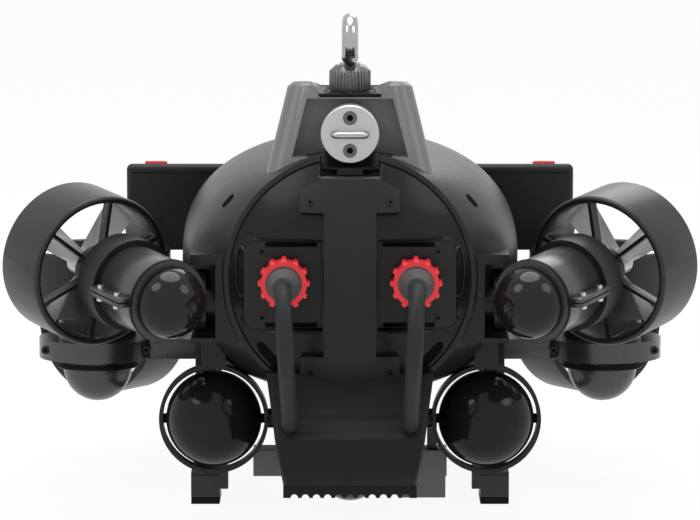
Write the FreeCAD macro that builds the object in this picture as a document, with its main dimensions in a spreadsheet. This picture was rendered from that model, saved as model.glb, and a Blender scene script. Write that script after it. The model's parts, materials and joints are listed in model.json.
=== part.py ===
import FreeCAD, Part
import Sketcher
import math
import os
import re
from FreeCAD import Placement, Rotation, Vector

# Underwater inspection ROV, millimetres. X to starboard seen from astern, Y forward, Z up.
# The origin is on the ground under the middle of the craft.

DIMENSIONS = {
    # fairing hull: a superelliptic body about a fore-and-aft line
    "hull_axis_height": 202,
    "hull_half_width": 140,
    "hull_half_height": 100,
    "hull_upper_power": 2.4,
    "hull_lower_power": 3.2,
    "hull_end_upper_power": 2.2,
    "hull_end_lower_power": 2.6,
    "hull_cheek_power": 2.4,
    "tail_rim_y": -165,
    "tail_rim_radius": 102,
    "shoulder_y": -115,
    "shoulder_half_width": 129,
    "belly_rear_y": -50,
    "belly_front_y": 45,
    "cheek_y": 150,
    "cheek_half_width": 116,
    "cheek_half_height": 90,
    "nose_rim_y": 205,
    "nose_rim_radius": 78,
    "seam_gap": 1.6,
    "seam_depth": 7,
    # tail cap and the strip down its middle
    "cap_inset": 5.3,
    "cap_bulge": 32,
    "strip_rise": 5,
    "strip_half_width": 21,
    "strip_wing_half_width": 40,
    "strip_top_above_axis": 82,
    "strip_upper_step_above_axis": 56,
    "strip_lower_step_above_axis": -61,
    "strip_bottom_above_axis": -93,
    "strip_corner_cut": 8,
    # latch slot above the strip
    "slot_half_width": 24,
    "slot_bottom_above_axis": 83,
    "slot_top_above_axis": 106,
    "slot_front_y": -138,
    "latch_half_width": 10.5,
    "latch_pin_radius": 2,
    "latch_pin_reach": 4,
    "latch_pin_above_axis": 87,
    "latch_pin_y": -147,
    "latch_thickness": 3,
    "latch_length": 15,
    "latch_lip": 3.4,
    "running_fit": 0.08,
    # connector panels, sockets, locking rings and jumper leads
    "panel_inner_x": 22,
    "panel_outer_x": 86,
    "panel_bottom_above_axis": -39,
    "panel_top_above_axis": 32,
    "panel_floor_y": -175,
    "panel_thickness": 3,
    "panel_corner": 10,
    "socket_x": 52.9,
    "socket_flange_radius": 17.5,
    "socket_flange_thickness": 5,
    "socket_barrel_radius": 14.5,
    "boot_radius": 13.3,
    "boot_end_radius": 9.2,
    "boot_end_y": -231.5,
    "ring_length": 21,
    "ring_body_radius": 18.4,
    "ring_lug_radius": 20.7,
    "ring_lug_count": 12,
    "ring_lug_width": 5,
    "ring_gap": 0.6,
    "lead_radius": 6.65,
    "lead_bend_radius": 34,
    "lead_lower_bend_radius": 44,
    "lead_corner_x": 50.4,
    "lead_corner_above_axis": -52.5,
    "lead_hole_x": 48.1,
    "lead_hole_y": -201,
    "lead_hole_above_axis": -117,
    "lead_hole_clearance": 0.05,
    # tower on top of the hull
    "tower_base_above_axis": 74,
    "tower_top_rear_above_foot": 83,
    "tower_top_front_above_foot": 68,
    "tower_base_half_width": 70,
    "tower_top_half_width": 50,
    "tower_base_rear_y": -160,
    "tower_base_front_y": 78,
    "tower_top_rear_y": -128,
    "tower_top_front_y": 22,
    "tower_corner": 14,
    "tower_chamfer": 4,
    "recess_floor_y": -126,
    "recess_bottom_above_foot": 23,
    "recess_top_above_foot": 69,
    "recess_bottom_half_width": 47,
    "recess_top_half_width": 35,
    "boss_radius": 23.6,
    "boss_rear_y": -150,
    "disc_above_foot": 41.7,
    "disc_thickness": 4,
    "disc_screw_offset": 13.2,
    "disc_screw_radius": 5.8,
    "disc_screw_depth": 2,
    "bar_half_span": 13,
    "bar_radius": 2.7,
    "bar_standoff": 9,
    # trough, grille, knurled nut and lifting eye
    "trough_floor_half_width": 25,
    "trough_mouth_half_width": 32,
    "trough_rear_above_foot": 70,
    "trough_front_above_foot": 65,
    "trough_front_y": 12,
    "grille_thickness": 3,
    "grille_frame": 4,
    "grille_slat_pitch": 9,
    "grille_slat_gap": 5,
    "grille_slat_count": 13,
    "nut_y": -78,
    "nut_radius": 17.2,
    "nut_bottom_above_foot": 71.6,
    "nut_height": 21,
    "nut_bevel": 5,
    "nut_seat_step": 4,
    "nut_flute_radius": 1.1,
    "nut_flute_count": 36,
    "eye_bar_radius": 6.8,
    "eye_loop_radius": 15,
    "eye_leg_length": 14,
    "eye_neck_radius": 5.5,
    "eye_neck_height": 7,
    "eye_pin_depth": 10,
    # chin skirt, payload rail and what hangs under it
    "skirt_top_half_width": 68,
    "skirt_bottom_half_width": 54,
    "skirt_top_above_axis": -76,
    "skirt_bottom_above_axis": -165,
    "skirt_front_y": -80,
    "skirt_knee_y": -212,
    "skirt_knee_above_axis": -124,
    "skirt_top_rear_y": -176,
    "skirt_slope_run": 20,
    "skirt_slope_rise": 22,
    "skirt_tuck_y": 7,
    "skirt_tuck_above_axis": -147,
    "skirt_toe_run": 14,
    "skirt_toe_rise": 24,
    "skirt_rear_edges_y": -170,
    "skirt_edge_round": 4,
    "rail_height": 11,
    "rail_depth": 16,
    "rail_knob_pitch": 9,
    "rail_knob_radius": 3,
    "sensor_radius": 26.5,
    "sensor_y": -112,
    "block_inner_x": 40,
    "block_outer_x": 80,
    "block_foot_drop": 18,
    "block_foot_inset": 1,
    "post_inner_x": 64,
    "post_outer_x": 72,
    "post_rear_inset": 8,
    "post_front_inset": 20,
    "post_height": 22,
    "block_bottom_above_axis": -172,
    "block_top_above_axis": -150,
    "block_rear_y": -110,
    "block_front_y": -84,
    # ducted thrusters, measured along each one's own axis from the middle of its duct
    "duct_bore_radius": 57,
    "duct_wall": 6,
    "duct_length": 56,
    "duct_lip_round": 2.8,
    "strut_count": 6,
    "strut_width": 3,
    "strut_depth": 9,
    "hub_ring_wall": 4,
    "pod_radius": 33,
    "pod_neck_radius": 16,
    "pod_neck_start": 15,
    "pod_shoulder_start": 40,
    "pod_shoulder_length": 8,
    "pod_end": 131,
    "pod_band_width": 5,
    "pod_band_rise": 1,
    "pod_dome_radius": 29.5,
    "vertical_pod_lift": 56,
    "vertical_neck_start": -3,
    "vertical_shoulder_start": 2,
    "blade_count": 4,
    "blade_tip_radius": 54.5,
    "blade_root_chord": 20,
    "blade_tip_chord": 26,
    "blade_thickness": 2.4,
    "blade_root_pitch": 52,
    "blade_tip_pitch": 24,
    "hub_radius": 11,
    "hub_half_length": 12,
    "vertical_hub_shift": -17,
    "shaft_radius": 3.5,
    "shaft_reach": 21,
    "thruster_yaw": 35,
    "rear_thruster_x": 219.3,
    "rear_thruster_y": -92.3,
    "rear_thruster_above_axis": 3.3,
    "rear_thruster_droop": 8,
    "front_thruster_x": 209.8,
    "front_thruster_y": 135.9,
    "front_thruster_above_axis": -75.4,
    "vertical_thruster_x": 216.6,
    "vertical_thruster_y": 25,
    "vertical_thruster_above_axis": -25,
    # arms that carry the pods
    "collar_wall": 5,
    "collar_start": 52,
    "collar_length": 24,
    "arm_block_inner_x": 90,
    "arm_block_step_x": 109,
    "arm_block_outer_x": 129,
    "arm_block_rear_y": -163,
    "arm_block_front_y": -100,
    "arm_block_bottom_above_axis": -53,
    "arm_block_top_above_axis": 19,
    "arm_wall": 8,
    "arm_axis_y": -138,
    "arm_axis_above_axis": -21,
    "arm_shaft_radius": 17,
    "arm_disc_radius": 26,
    "arm_disc_inner_x": 117,
    "arm_disc_outer_x": 126,
    "arm_tube_radius": 14,
    "front_arm_y": 187,
    "front_arm_above_axis": -74,
    "front_pad_radius": 24,
    "yoke_bottom_above_axis": -91,
    "yoke_thickness": 17,
    "yoke_root_x": 78,
    "yoke_ring_radius": 50,
    "yoke_beam_half_width": 20,
    "yoke_screw_offset": 43,
    "yoke_screw_radius": 3.4,
    # battery boxes
    "box_inner_x": 88,
    "box_outer_x": 195,
    "box_rear_y": 95,
    "box_front_y": 215,
    "box_bottom_above_axis": -8,
    "box_rear_top_above_axis": 68,
    "box_front_top_above_axis": 51,
    "box_edge_round": 5,
    "catch_inner_x": 160,
    "catch_width": 19,
    "catch_length": 24,
    "catch_height": 5,
    "catch_proud": 2.5,
    "catch_travel": 8,
    "catch_clearance": 0.2,
    # lamps
    "lamp_x": 112,
    "lamp_y": -120,
    "lamp_above_axis": -121.6,
    "lamp_ball_radius": 39.4,
    "lamp_face_y": 26,
    "lamp_lens_radius": 27,
    "lamp_lens_thickness": 4,
    "lamp_ring_outer_radius": 45,
    "lamp_ring_wall": 3.3,
    "lamp_ring_width": 14,
    "lamp_pin_radius": 4,
    "lamp_boss_radius": 8,
    "lamp_boss_length": 12,
    "hanger_half_width": 10,
    "hanger_height": 20,
    # skids
    "skid_inner_x": 109,
    "skid_outer_x": 133,
    "skid_rear_y": -75,
    "skid_front_y": 125,
    "skid_top_z": 27,
    "skid_edge_round": 4,
    "pad_height": 6,
    "pad_length": 40,
    "flange_depth": 7,
    "flange_length": 12,
    "flange_bottom_z": 13,
    "flange_top_z": 32,
    "leg_half_length": 10,
    "leg_inset": 3,
    "rear_leg_y": -35,
    "front_leg_y": 72,
    # nose: bezel, dome and tilting camera
    "bezel_width": 12,
    "bezel_thickness": 12,
    "dome_wall": 3,
    "camera_bay_radius": 60,
    "camera_bay_depth": 46,
    "camera_radius": 34,
    "camera_y": 194,
    "camera_lens_radius": 14,
    "camera_pin_radius": 5,
    "camera_pin_reach": 5,
}

# Places that follow another piece: NAME_above_axis gives NAME_z over the hull's axis, and
# NAME_above_foot gives NAME_z over the tower's foot.
PLACES = {"cap_radius": "(tail_rim_radius - cap_inset)"}
for alias in DIMENSIONS:
    if alias.endswith("_above_axis"):
        PLACES[alias.replace("_above_axis", "_z")] = f"(hull_axis_height + {alias})"
    if alias.endswith("_above_foot"):
        PLACES[alias.replace("_above_foot", "_z")] = f"(hull_axis_height + tower_base_above_axis + {alias})"

SIDES = {"left": -1, "right": 1}

doc = FreeCAD.newDocument("InspectionRov")
sizes = doc.addObject("Spreadsheet::Sheet", "Sizes")
for row, (alias, number) in enumerate(DIMENSIONS.items(), start=1):
    sizes.set(f"A{row}", alias)
    sizes.set(f"B{row}", str(number))
    sizes.setAlias(f"B{row}", alias)
doc.recompute()

SUBPARTS = []


# ---------------------------------------------------------------- helpers

def spelled_out(expression):
    """The expression with each place written in the sheet's own names."""
    return re.sub(r"[a-z]\w+", lambda word: PLACES.get(word[0], word[0]), expression)


def size(expression):
    """Value of an expression in the names of sizes and places."""
    return float(sizes.evalExpression(spelled_out(expression)))


def bound(expression):
    """The same expression as another object of the document has to write it."""
    def qualified(word):
        return f"Sizes.{word[0]}" if word[0] in DIMENSIONS else word[0]

    return re.sub(r"[a-z]\w+", qualified, spelled_out(expression))


def register(item, label):
    item.Label = label
    SUBPARTS.append(item)
    return item


def new_body(name):
    return doc.addObject("PartDesign::Body", name)


def origin_plane(body, role):
    return next(item for item in body.Origin.OriginFeatures if item.Role == role)


def blank_sketch(body, name, role, lift):
    sketch = body.newObject("Sketcher::SketchObject", name)
    sketch.AttachmentSupport = [(origin_plane(body, role), "")]
    sketch.MapMode = "FlatFace"
    sketch.setExpression("AttachmentOffset.Base.z", bound(lift))
    return sketch


def outline_sketch(body, name, role, corners, lift="0"):
    """Closed outline whose corners are pairs of sheet expressions."""
    sketch = blank_sketch(body, name, role, lift)
    points = [Vector(size(across), size(up), 0) for across, up in corners]
    for here, there in zip(points, points[1:] + points[:1]):
        sketch.addGeometry(Part.LineSegment(here, there), False)
    count = len(points)
    for index in range(count):
        sketch.addConstraint(Sketcher.Constraint("Coincident", index, 2, (index + 1) % count, 1))
    for index, (across, up) in enumerate(corners):
        for kind, expression in (("DistanceX", across), ("DistanceY", up)):
            number = sketch.addConstraint(Sketcher.Constraint(kind, -1, 1, index, 1, size(expression)))
            sketch.setExpression(f"Constraints[{number}]", bound(expression))
    return sketch


def circle_sketch(body, name, role, rings, lift="0"):
    """Circles, each a centre and a radius in sheet expressions."""
    sketch = blank_sketch(body, name, role, lift)
    for across, up, radius in rings:
        middle = Vector(size(across), size(up), 0)
        index = sketch.addGeometry(Part.Circle(middle, Vector(0, 0, 1), size(radius)), False)
        for kind, expression in (("DistanceX", across), ("DistanceY", up)):
            number = sketch.addConstraint(Sketcher.Constraint(kind, -1, 1, index, 3, size(expression)))
            sketch.setExpression(f"Constraints[{number}]", bound(expression))
        number = sketch.addConstraint(Sketcher.Constraint("Radius", index, size(radius)))
        sketch.setExpression(f"Constraints[{number}]", bound(radius))
    return sketch


def pad(body, name, sketch, length, reverse=False, centred=False):
    feature = body.newObject("PartDesign::Pad", name)
    feature.Profile = sketch
    feature.setExpression("Length", bound(length))
    feature.Reversed = reverse
    feature.Midplane = centred
    doc.recompute()
    return feature


def pocket(body, name, sketch, length, reverse=False):
    before = body.Shape.Volume
    feature = body.newObject("PartDesign::Pocket", name)
    feature.Profile = sketch
    feature.setExpression("Length", bound(length))
    feature.Reversed = reverse
    doc.recompute()
    if feature.Shape.Volume >= before - 1e-6:
        raise RuntimeError(f"{name} cuts nothing")
    return feature


def revolve(body, name, sketch, axis="V_Axis"):
    feature = body.newObject("PartDesign::Revolution", name)
    feature.Profile = sketch
    feature.ReferenceAxis = (sketch, [axis])
    feature.Angle = 360
    doc.recompute()
    return feature


def polar(body, name, feature, sketch, count, axis="N_Axis"):
    pattern = body.newObject("PartDesign::PolarPattern", name)
    pattern.Originals = [feature]
    pattern.Axis = (sketch, [axis])
    pattern.Angle = 360
    pattern.setExpression("Occurrences", bound(count))
    body.Tip = pattern
    doc.recompute()
    return pattern


def round_edges(body, name, wanted, radius):
    """Fillet on every edge of the body's tip that the test picks."""
    base = body.Tip
    picked = [f"Edge{index}" for index, edge in enumerate(base.Shape.Edges, start=1) if wanted(edge)]
    feature = body.newObject("PartDesign::Fillet", name)
    feature.Base = (base, picked)
    feature.setExpression("Radius", bound(radius))
    doc.recompute()
    return feature


def vector_along(edge):
    first, last = edge.Vertexes[0].Point, edge.Vertexes[-1].Point
    return (last - first).normalize() if first.distanceToPoint(last) > 1e-6 else Vector()


def is_along(edge, direction):
    return edge.Curve.TypeId == "Part::GeomLine" and abs(vector_along(edge).dot(direction)) > 0.999


def feature(label, shape, placement=None):
    """Sub-part whose shape is worked out from the sheet in this file."""
    item = doc.addObject("Part::Feature", label)
    item.Shape = shape
    if placement:
        item.Placement = placement.multiply(shape.Placement)
    return register(item, label)


def box(x_pair, y_pair, z_pair):
    low = Vector(min(x_pair), min(y_pair), min(z_pair))
    spans = [abs(pair[1] - pair[0]) for pair in (x_pair, y_pair, z_pair)]
    return Part.makeBox(*spans, low)


def rod(radius, start, end):
    return Part.makeCylinder(radius, (end - start).Length, start, end - start)


def prism(points, travel):
    return Part.Face(Part.makePolygon(points + points[:1])).extrude(travel)


def largest(shape):
    """The main solid of a cut, without the chips that it leaves."""
    return max(shape.Solids, key=lambda solid: solid.Volume).removeSplitter()


def spun(profile, centre, axis):
    """Solid of revolution from (radius, distance) pairs about an axis through the centre."""
    points = [Vector(radius, 0, along) for radius, along in profile]
    solid = Part.Face(Part.makePolygon(points + points[:1])).revolve(Vector(), Vector(0, 0, 1), 360)
    solid.Placement = Placement(centre, Rotation(Vector(0, 0, 1), axis))
    return solid


# ---------------------------------------------------------------- hull

def superellipse(y, half_width, half_height, upper_power, lower_power):
    """Closed curve across the craft, rounder above the axis than below it."""
    points = []
    for step in range(32):
        angle = 2 * math.pi * step / 32
        power = upper_power if math.sin(angle) >= 0 else lower_power
        across = math.copysign(abs(math.cos(angle)) ** (2 / power), math.cos(angle))
        up = math.copysign(abs(math.sin(angle)) ** (2 / power), math.sin(angle))
        points.append(Vector(half_width * across, y, size("hull_axis_height") + half_height * up))
    curve = Part.BSplineCurve()
    curve.interpolate(points, PeriodicFlag=True)
    return Part.Wire(curve.toShape())


def hull_sections():
    width, height = size("hull_half_width"), size("hull_half_height")
    upper, lower = size("hull_upper_power"), size("hull_lower_power")
    round_upper, round_lower = size("hull_end_upper_power"), size("hull_end_lower_power")
    rim, nose = size("tail_rim_radius"), size("nose_rim_radius")
    return [
        superellipse(size("tail_rim_y"), rim, rim, 2, 2),
        superellipse(size("shoulder_y"), size("shoulder_half_width"), height, round_upper, round_lower),
        superellipse(size("belly_rear_y"), width, height, upper, lower),
        superellipse(size("belly_front_y"), width, height, upper, lower),
        superellipse(size("cheek_y"), size("cheek_half_width"), size("cheek_half_height"), round_upper,
                     size("hull_cheek_power")),
        superellipse(size("nose_rim_y"), nose, nose, 2, 2),
    ]


def on_axis(y):
    return Vector(0, y, size("hull_axis_height"))


def latch_slot():
    half = size("slot_half_width")
    return box((-half, half), (size("tail_rim_y") - 30, size("slot_front_y")),
               (size("slot_bottom_z"), size("slot_top_z")))


def latch_pin(radius):
    reach = size("slot_half_width + latch_pin_reach")
    y, z = size("latch_pin_y"), size("latch_pin_z")
    return rod(radius, Vector(-reach, y, z), Vector(reach, y, z))


def camera_pin(extra):
    """Trunnion through the camera head, or the hole for it when grown."""
    reach = Vector(size("camera_bay_radius + camera_pin_reach") + extra, 0, 0)
    middle = on_axis(size("camera_y"))
    return rod(size("camera_pin_radius") + extra, middle - reach, middle + reach)


def make_hull():
    skin = Part.makeLoft(hull_sections(), True, False)
    rim_y = size("tail_rim_y")
    seat = rod(size("cap_radius + seam_gap"), on_axis(rim_y - 5), on_axis(rim_y + size("seam_depth")))
    bay_end = size("nose_rim_y")
    bay = rod(size("camera_bay_radius"), on_axis(bay_end - size("camera_bay_depth")), on_axis(bay_end + 5))
    solid = skin.cut([seat, bay, camera_pin(size("running_fit")), latch_slot(),
                      latch_pin(size("latch_pin_radius + running_fit"))])
    return largest(solid)


# ---------------------------------------------------------------- tail

def cap_centre_y():
    """Centre of the sphere that the tail cap is a slice of."""
    bulge, radius = size("cap_bulge"), size("cap_radius")
    return size("tail_rim_y") - bulge + cap_sphere_radius()


def cap_sphere_radius():
    return (size("cap_radius") ** 2 + size("cap_bulge") ** 2) / (2 * size("cap_bulge"))


def cap_ball(extra):
    return Part.makeSphere(cap_sphere_radius() + extra, on_axis(cap_centre_y()))


def panel_block(rear_y, front_y, grow, side):
    """Rounded block over one connector panel."""
    xs = (side * size("panel_inner_x"), side * (size("panel_outer_x") + grow))
    zs = (size("panel_bottom_z") - grow, size("panel_top_z") + grow)
    block = box(xs, (rear_y, front_y), zs)
    outer = max(xs, key=abs)
    corners = [edge for edge in block.Edges
               if is_along(edge, Vector(0, 1, 0)) and abs(edge.Vertexes[0].X - outer) < 1e-6]
    return block.makeFillet(size("panel_corner"), corners)


def make_tail_cap():
    rim_y = size("tail_rim_y")
    base_y = rim_y + size("seam_depth")
    drum = rod(size("cap_radius"), on_axis(rim_y - size("cap_bulge") - 1), on_axis(base_y))
    cap = drum.common(cap_ball(0).fuse(rod(size("cap_radius"), on_axis(rim_y), on_axis(base_y))))
    floor = size("panel_floor_y")
    for side in SIDES.values():
        cap = cap.cut(panel_block(floor - 60, floor, 2, side))
        cap = cap.fuse(panel_block(floor, rim_y, 0, side).common(drum))
    cap = cap.cut([latch_slot(), latch_pin(size("latch_pin_radius + running_fit"))])
    feature("tail_cap", cap.removeSplitter())


def make_tail_strip():
    narrow, wide = size("strip_half_width"), size("strip_wing_half_width")
    top, upper = size("strip_top_z"), size("strip_upper_step_z")
    lower, bottom = size("strip_lower_step_z"), size("strip_bottom_z")
    cut = size("strip_corner_cut")
    half = [(narrow, top), (wide, top - cut), (wide, upper), (narrow, upper),
            (narrow, lower), (wide, lower), (wide, bottom + cut), (wide - cut, bottom)]
    ring = half + [(-x, z) for x, z in reversed(half)]
    rear = size("tail_rim_y") - 60
    outline = prism([Vector(x, rear, z) for x, z in ring], Vector(0, 58, 0))
    shell = cap_ball(size("strip_rise")).cut(cap_ball(0))
    feature("tail_strip", outline.common(shell).removeSplitter())


def make_tail_latch():
    pin = latch_pin(size("latch_pin_radius"))
    middle = pin.CenterOfMass
    half, thick = size("latch_half_width"), size("latch_thickness")
    plate = box((-half, half), (middle.y - size("latch_length"), middle.y + 4),
                (middle.z - thick / 2, middle.z + thick / 2))
    lip = box((-half, half), (middle.y - size("latch_length"), middle.y - size("latch_length") + thick),
              (middle.z - size("latch_lip"), middle.z))
    feature("tail_latch", plate.fuse([lip, pin]).removeSplitter())


def make_connector_panels():
    rear = size("panel_floor_y - panel_thickness")
    plates = [panel_block(rear, size("panel_floor_y"), -0.6, side) for side in SIDES.values()]
    drum = rod(size("cap_radius"), on_axis(rear - 5), on_axis(size("tail_rim_y")))
    feature("connector_panels", Part.makeCompound([plate.common(drum) for plate in plates]))


# ---------------------------------------------------------------- connectors

def socket_point(side, y):
    return Vector(side * size("socket_x"), y, size("hull_axis_height"))


def panel_face_y():
    return size("panel_floor_y - panel_thickness")


def make_connector(name, side):
    face = panel_face_y()
    flange = size("socket_flange_thickness")
    barrel_end = flange + size("ring_length + 2 * ring_gap")
    boot_end = face - size("boot_end_y")
    profile = [(0, 0), (size("socket_flange_radius"), 0), (size("socket_flange_radius"), flange),
               (size("socket_barrel_radius"), flange), (size("socket_barrel_radius"), barrel_end),
               (size("boot_radius"), barrel_end), (size("boot_radius"), barrel_end + 6),
               (size("boot_end_radius"), boot_end), (0, boot_end)]
    feature(f"connector_{name}", spun(profile, socket_point(side, face), Vector(0, -1, 0)))


def make_locking_ring(name, side):
    """Lugged ring that turns on the socket's barrel."""
    body = new_body(f"locking_ring_{name}")
    rings = [("0", "0", "ring_body_radius"), ("0", "0", "socket_barrel_radius + running_fit")]
    pad(body, "band", circle_sketch(body, "band_circles", "XY_Plane", rings), "ring_length")
    half = "ring_lug_width / 2"
    inner, outer = "ring_body_radius - 1", "ring_lug_radius"
    corners = [(inner, f"-{half}"), (outer, f"-{half} + 1"), (outer, f"{half} - 1"), (inner, half)]
    lug_sketch = outline_sketch(body, "lug_outline", "XY_Plane", corners)
    lug = pad(body, "lug", lug_sketch, "ring_length - 3")
    polar(body, "lugs", lug, lug_sketch, "ring_lug_count")
    start = socket_point(side, panel_face_y() - size("socket_flange_thickness + ring_gap"))
    body.Placement = Placement(start, Rotation(Vector(0, 0, 1), Vector(0, -1, 0)))
    register(body, f"locking_ring_{name}")


def lead_route(side):
    """Corners of a jumper lead from its boot, over and down into the skirt."""
    out_y = size("boot_end_y - lead_bend_radius")
    hull_z = size("hull_axis_height")
    return [
        Vector(side * size("socket_x"), size("boot_end_y"), hull_z),
        Vector(side * size("socket_x"), out_y, hull_z),
        Vector(side * size("lead_corner_x"), out_y, size("lead_corner_z")),
        Vector(side * size("lead_hole_x"), size("lead_hole_y"), size("lead_hole_z")),
    ]


def rounded_path(points, radii):
    """Straight runs joined by tangent arcs."""
    edges, start = [], points[0]
    for before, corner, after, radius in zip(points, points[1:], points[2:], radii):
        back, ahead = (before - corner).normalize(), (after - corner).normalize()
        half_turn = (math.pi - back.getAngle(ahead)) / 2
        reach = radius * math.tan(half_turn)
        first, last = corner + back * reach, corner + ahead * reach
        inward = (back + ahead).normalize()
        middle = corner + inward * (radius / math.cos(half_turn) - radius)
        if start.distanceToPoint(first) > 0.01:
            edges.append(Part.LineSegment(start, first).toShape())
        edges.append(Part.Arc(first, middle, last).toShape())
        start = last
    edges.append(Part.LineSegment(start, points[-1]).toShape())
    return Part.Wire(edges)


def make_lead(name, side):
    route = lead_route(side)
    path = rounded_path(route, [size("lead_bend_radius") - 0.05, size("lead_lower_bend_radius")])
    radius = size("lead_radius")
    section = Part.Wire(Part.Circle(route[0], Vector(0, 1, 0), radius).toShape())
    tube = path.makePipeShell([section], True, False)
    expected = math.pi * radius ** 2 * path.Length
    if abs(tube.Volume - expected) > 0.01 * expected:
        raise RuntimeError(f"lead_{name} has the wrong volume")
    print(f"jumper_lead_{name}: {path.Length:.1f} mm long, bends "
          f"{size('lead_bend_radius'):g} and {size('lead_lower_bend_radius'):g} mm")
    feature(f"jumper_lead_{name}", tube)


# ---------------------------------------------------------------- tower

def rounded_rectangle(half_width, rear, front, corner, rear_z, front_z):
    """Outline across the tower, in a plane that may slope down towards the bow."""
    slope = math.atan2(front_z - rear_z, front - rear)
    run = math.hypot(front - rear, front_z - rear_z)
    block = box((-half_width, half_width), (0, run), (0, 1))
    block = block.makeFillet(corner, [edge for edge in block.Edges if is_along(edge, Vector(0, 0, 1))])
    outline = min(block.Faces, key=lambda face: face.CenterOfMass.z).OuterWire
    outline.Placement = Placement(Vector(0, rear, rear_z), Rotation(Vector(1, 0, 0), math.degrees(slope)))
    return outline


def trough_solid(lift, shrink):
    """Flared channel along the top of the tower, above a floor that runs down to the bow."""
    rear, front = size("tower_top_rear_y") - 20, size("trough_front_y") - shrink
    narrow, wide = size("trough_floor_half_width") - shrink, size("trough_mouth_half_width") - shrink
    fall = size("trough_rear_z - trough_front_z") / (size("trough_front_y") - rear)
    low = size("trough_rear_z") + lift
    high = low - fall * (front - rear)
    top, mouth = size("tower_top_rear_z") + 20, size("tower_top_rear_z")
    side_view = prism([Vector(-60, rear, low), Vector(-60, front, high), Vector(-60, front, top),
                       Vector(-60, rear, top)], Vector(120, 0, 0))
    flare = (wide - narrow) / (mouth - size("trough_rear_z"))
    foot, head = narrow - 8 * flare, wide + (top - mouth) * flare
    foot_z = size("trough_rear_z") - 8
    rear_view = prism([Vector(-foot, rear, foot_z), Vector(foot, rear, foot_z), Vector(head, rear, top),
                       Vector(-head, rear, top)], Vector(0, front - rear, 0))
    return side_view.common(rear_view)


def recess_solid():
    low, high = size("recess_bottom_z"), size("recess_top_z")
    wide, narrow = size("recess_bottom_half_width"), size("recess_top_half_width")
    floor = size("recess_floor_y")
    return prism([Vector(-wide, floor, low), Vector(wide, floor, low), Vector(narrow, floor, high),
                  Vector(-narrow, floor, high)], Vector(0, -60, 0))


def make_tower(hull):
    base_z = size("tower_base_z")
    base = rounded_rectangle(size("tower_base_half_width"), size("tower_base_rear_y"),
                             size("tower_base_front_y"), size("tower_corner"), base_z, base_z)
    top = rounded_rectangle(size("tower_top_half_width"), size("tower_top_rear_y"), size("tower_top_front_y"),
                            size("tower_corner"), size("tower_top_rear_z"), size("tower_top_front_z"))
    solid = Part.makeLoft([base, top], True, True)
    crown = [edge for edge in solid.Edges
             if min(vertex.Z for vertex in edge.Vertexes) > size("tower_top_front_z") - 0.1]
    solid = solid.makeChamfer(size("tower_chamfer"), crown)
    disc_middle = Vector(0, size("boss_rear_y"), size("disc_z"))
    boss = rod(size("boss_radius"), disc_middle, disc_middle + Vector(0, 30, 0))
    nut_seat = rod(size("nut_radius - nut_seat_step"), Vector(0, size("nut_y"), size("tower_base_z") + 40),
                   Vector(0, size("nut_y"), size("nut_bottom_z")))
    pin_hole = rod(size("eye_neck_radius + running_fit"),
                   Vector(0, size("nut_y"), size("nut_bottom_z - eye_pin_depth")),
                   Vector(0, size("nut_y"), size("nut_bottom_z + 5")))
    cap_room = rod(size("cap_radius + seam_gap"), on_axis(size("tail_rim_y") - 60),
                   on_axis(size("tail_rim_y") + size("seam_depth")))
    bar_seat = bar_wire_solid(size("bar_radius + running_fit"))
    solid = solid.cut([recess_solid(), trough_solid(0, 0)]).fuse([boss, nut_seat])
    solid = solid.cut([hull, latch_slot(), cap_room, bar_seat, pin_hole])
    feature("tower_fairing", largest(solid))


def bar_wire_solid(radius):
    """Staple across the tether disc: two legs and the bar between them."""
    half, rise = size("bar_half_span"), size("bar_standoff")
    rear, height = size("boss_rear_y - disc_thickness"), size("disc_z")
    corner = 4
    points = [Vector(-half, rear + 10, height), Vector(-half, rear - rise, height),
              Vector(half, rear - rise, height), Vector(half, rear + 10, height)]
    path = rounded_path(points, [corner, corner])
    section = Part.Wire(Part.Circle(points[0], Vector(0, 1, 0), radius).toShape())
    return path.makePipeShell([section], True, False)


def make_tether_disc():
    rear, height = size("boss_rear_y - disc_thickness"), size("disc_z")
    disc = rod(size("boss_radius"), Vector(0, rear, height), Vector(0, size("boss_rear_y"), height))
    rim = [edge for edge in disc.Edges if edge.Closed and abs(edge.BoundBox.YMin - rear) < 1e-6]
    disc = disc.makeChamfer(0.8, rim)
    cuts = [bar_wire_solid(size("bar_radius + running_fit"))]
    for sign in (-1, 1):
        spot = Vector(0, rear, height + sign * size("disc_screw_offset"))
        cuts.append(rod(size("disc_screw_radius"), spot, spot + Vector(0, size("disc_screw_depth"), 0)))
    feature("tether_disc", disc.cut(cuts))


def make_tether_bar():
    feature("tether_bar", bar_wire_solid(size("bar_radius")))


def make_grille():
    """Curved slats across the trough, struck about the nut and held by a frame and a spine."""
    plate = trough_solid(0, 0.3).cut(trough_solid(size("grille_thickness"), -5))
    middle = Vector(0, size("nut_y"), size("trough_front_z") - 10)
    top = middle + Vector(0, 0, 40)
    pitch, gap = size("grille_slat_pitch"), size("grille_slat_gap")
    inner = size("nut_radius + grille_frame")
    inside_frame = trough_solid(-5, size("grille_frame"))
    bands = []
    for step in range(int(size("grille_slat_count"))):
        near = inner + step * pitch
        bands.append(rod(near + gap, middle, top).cut(rod(near, middle, top)).common(inside_frame))
    rear, front = size("tower_top_rear_y + tower_chamfer + 1"), size("trough_front_y")
    half_spine = size("grille_frame") / 2
    heights = (middle.z - 20, top.z)
    frame = box((-60, 60), (rear, rear + 2 * half_spine), heights)
    spine = box((-half_spine, half_spine), (rear, front), heights)
    slots = bands[0].fuse(bands[1:]).cut([spine, frame])
    hub_hole = rod(size("nut_radius - nut_seat_step + running_fit"), middle, top)
    limit = box((-60, 60), (rear, front), heights)
    feature("tower_grille", largest(plate.common(limit).cut([slots, hub_hole])))


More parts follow.
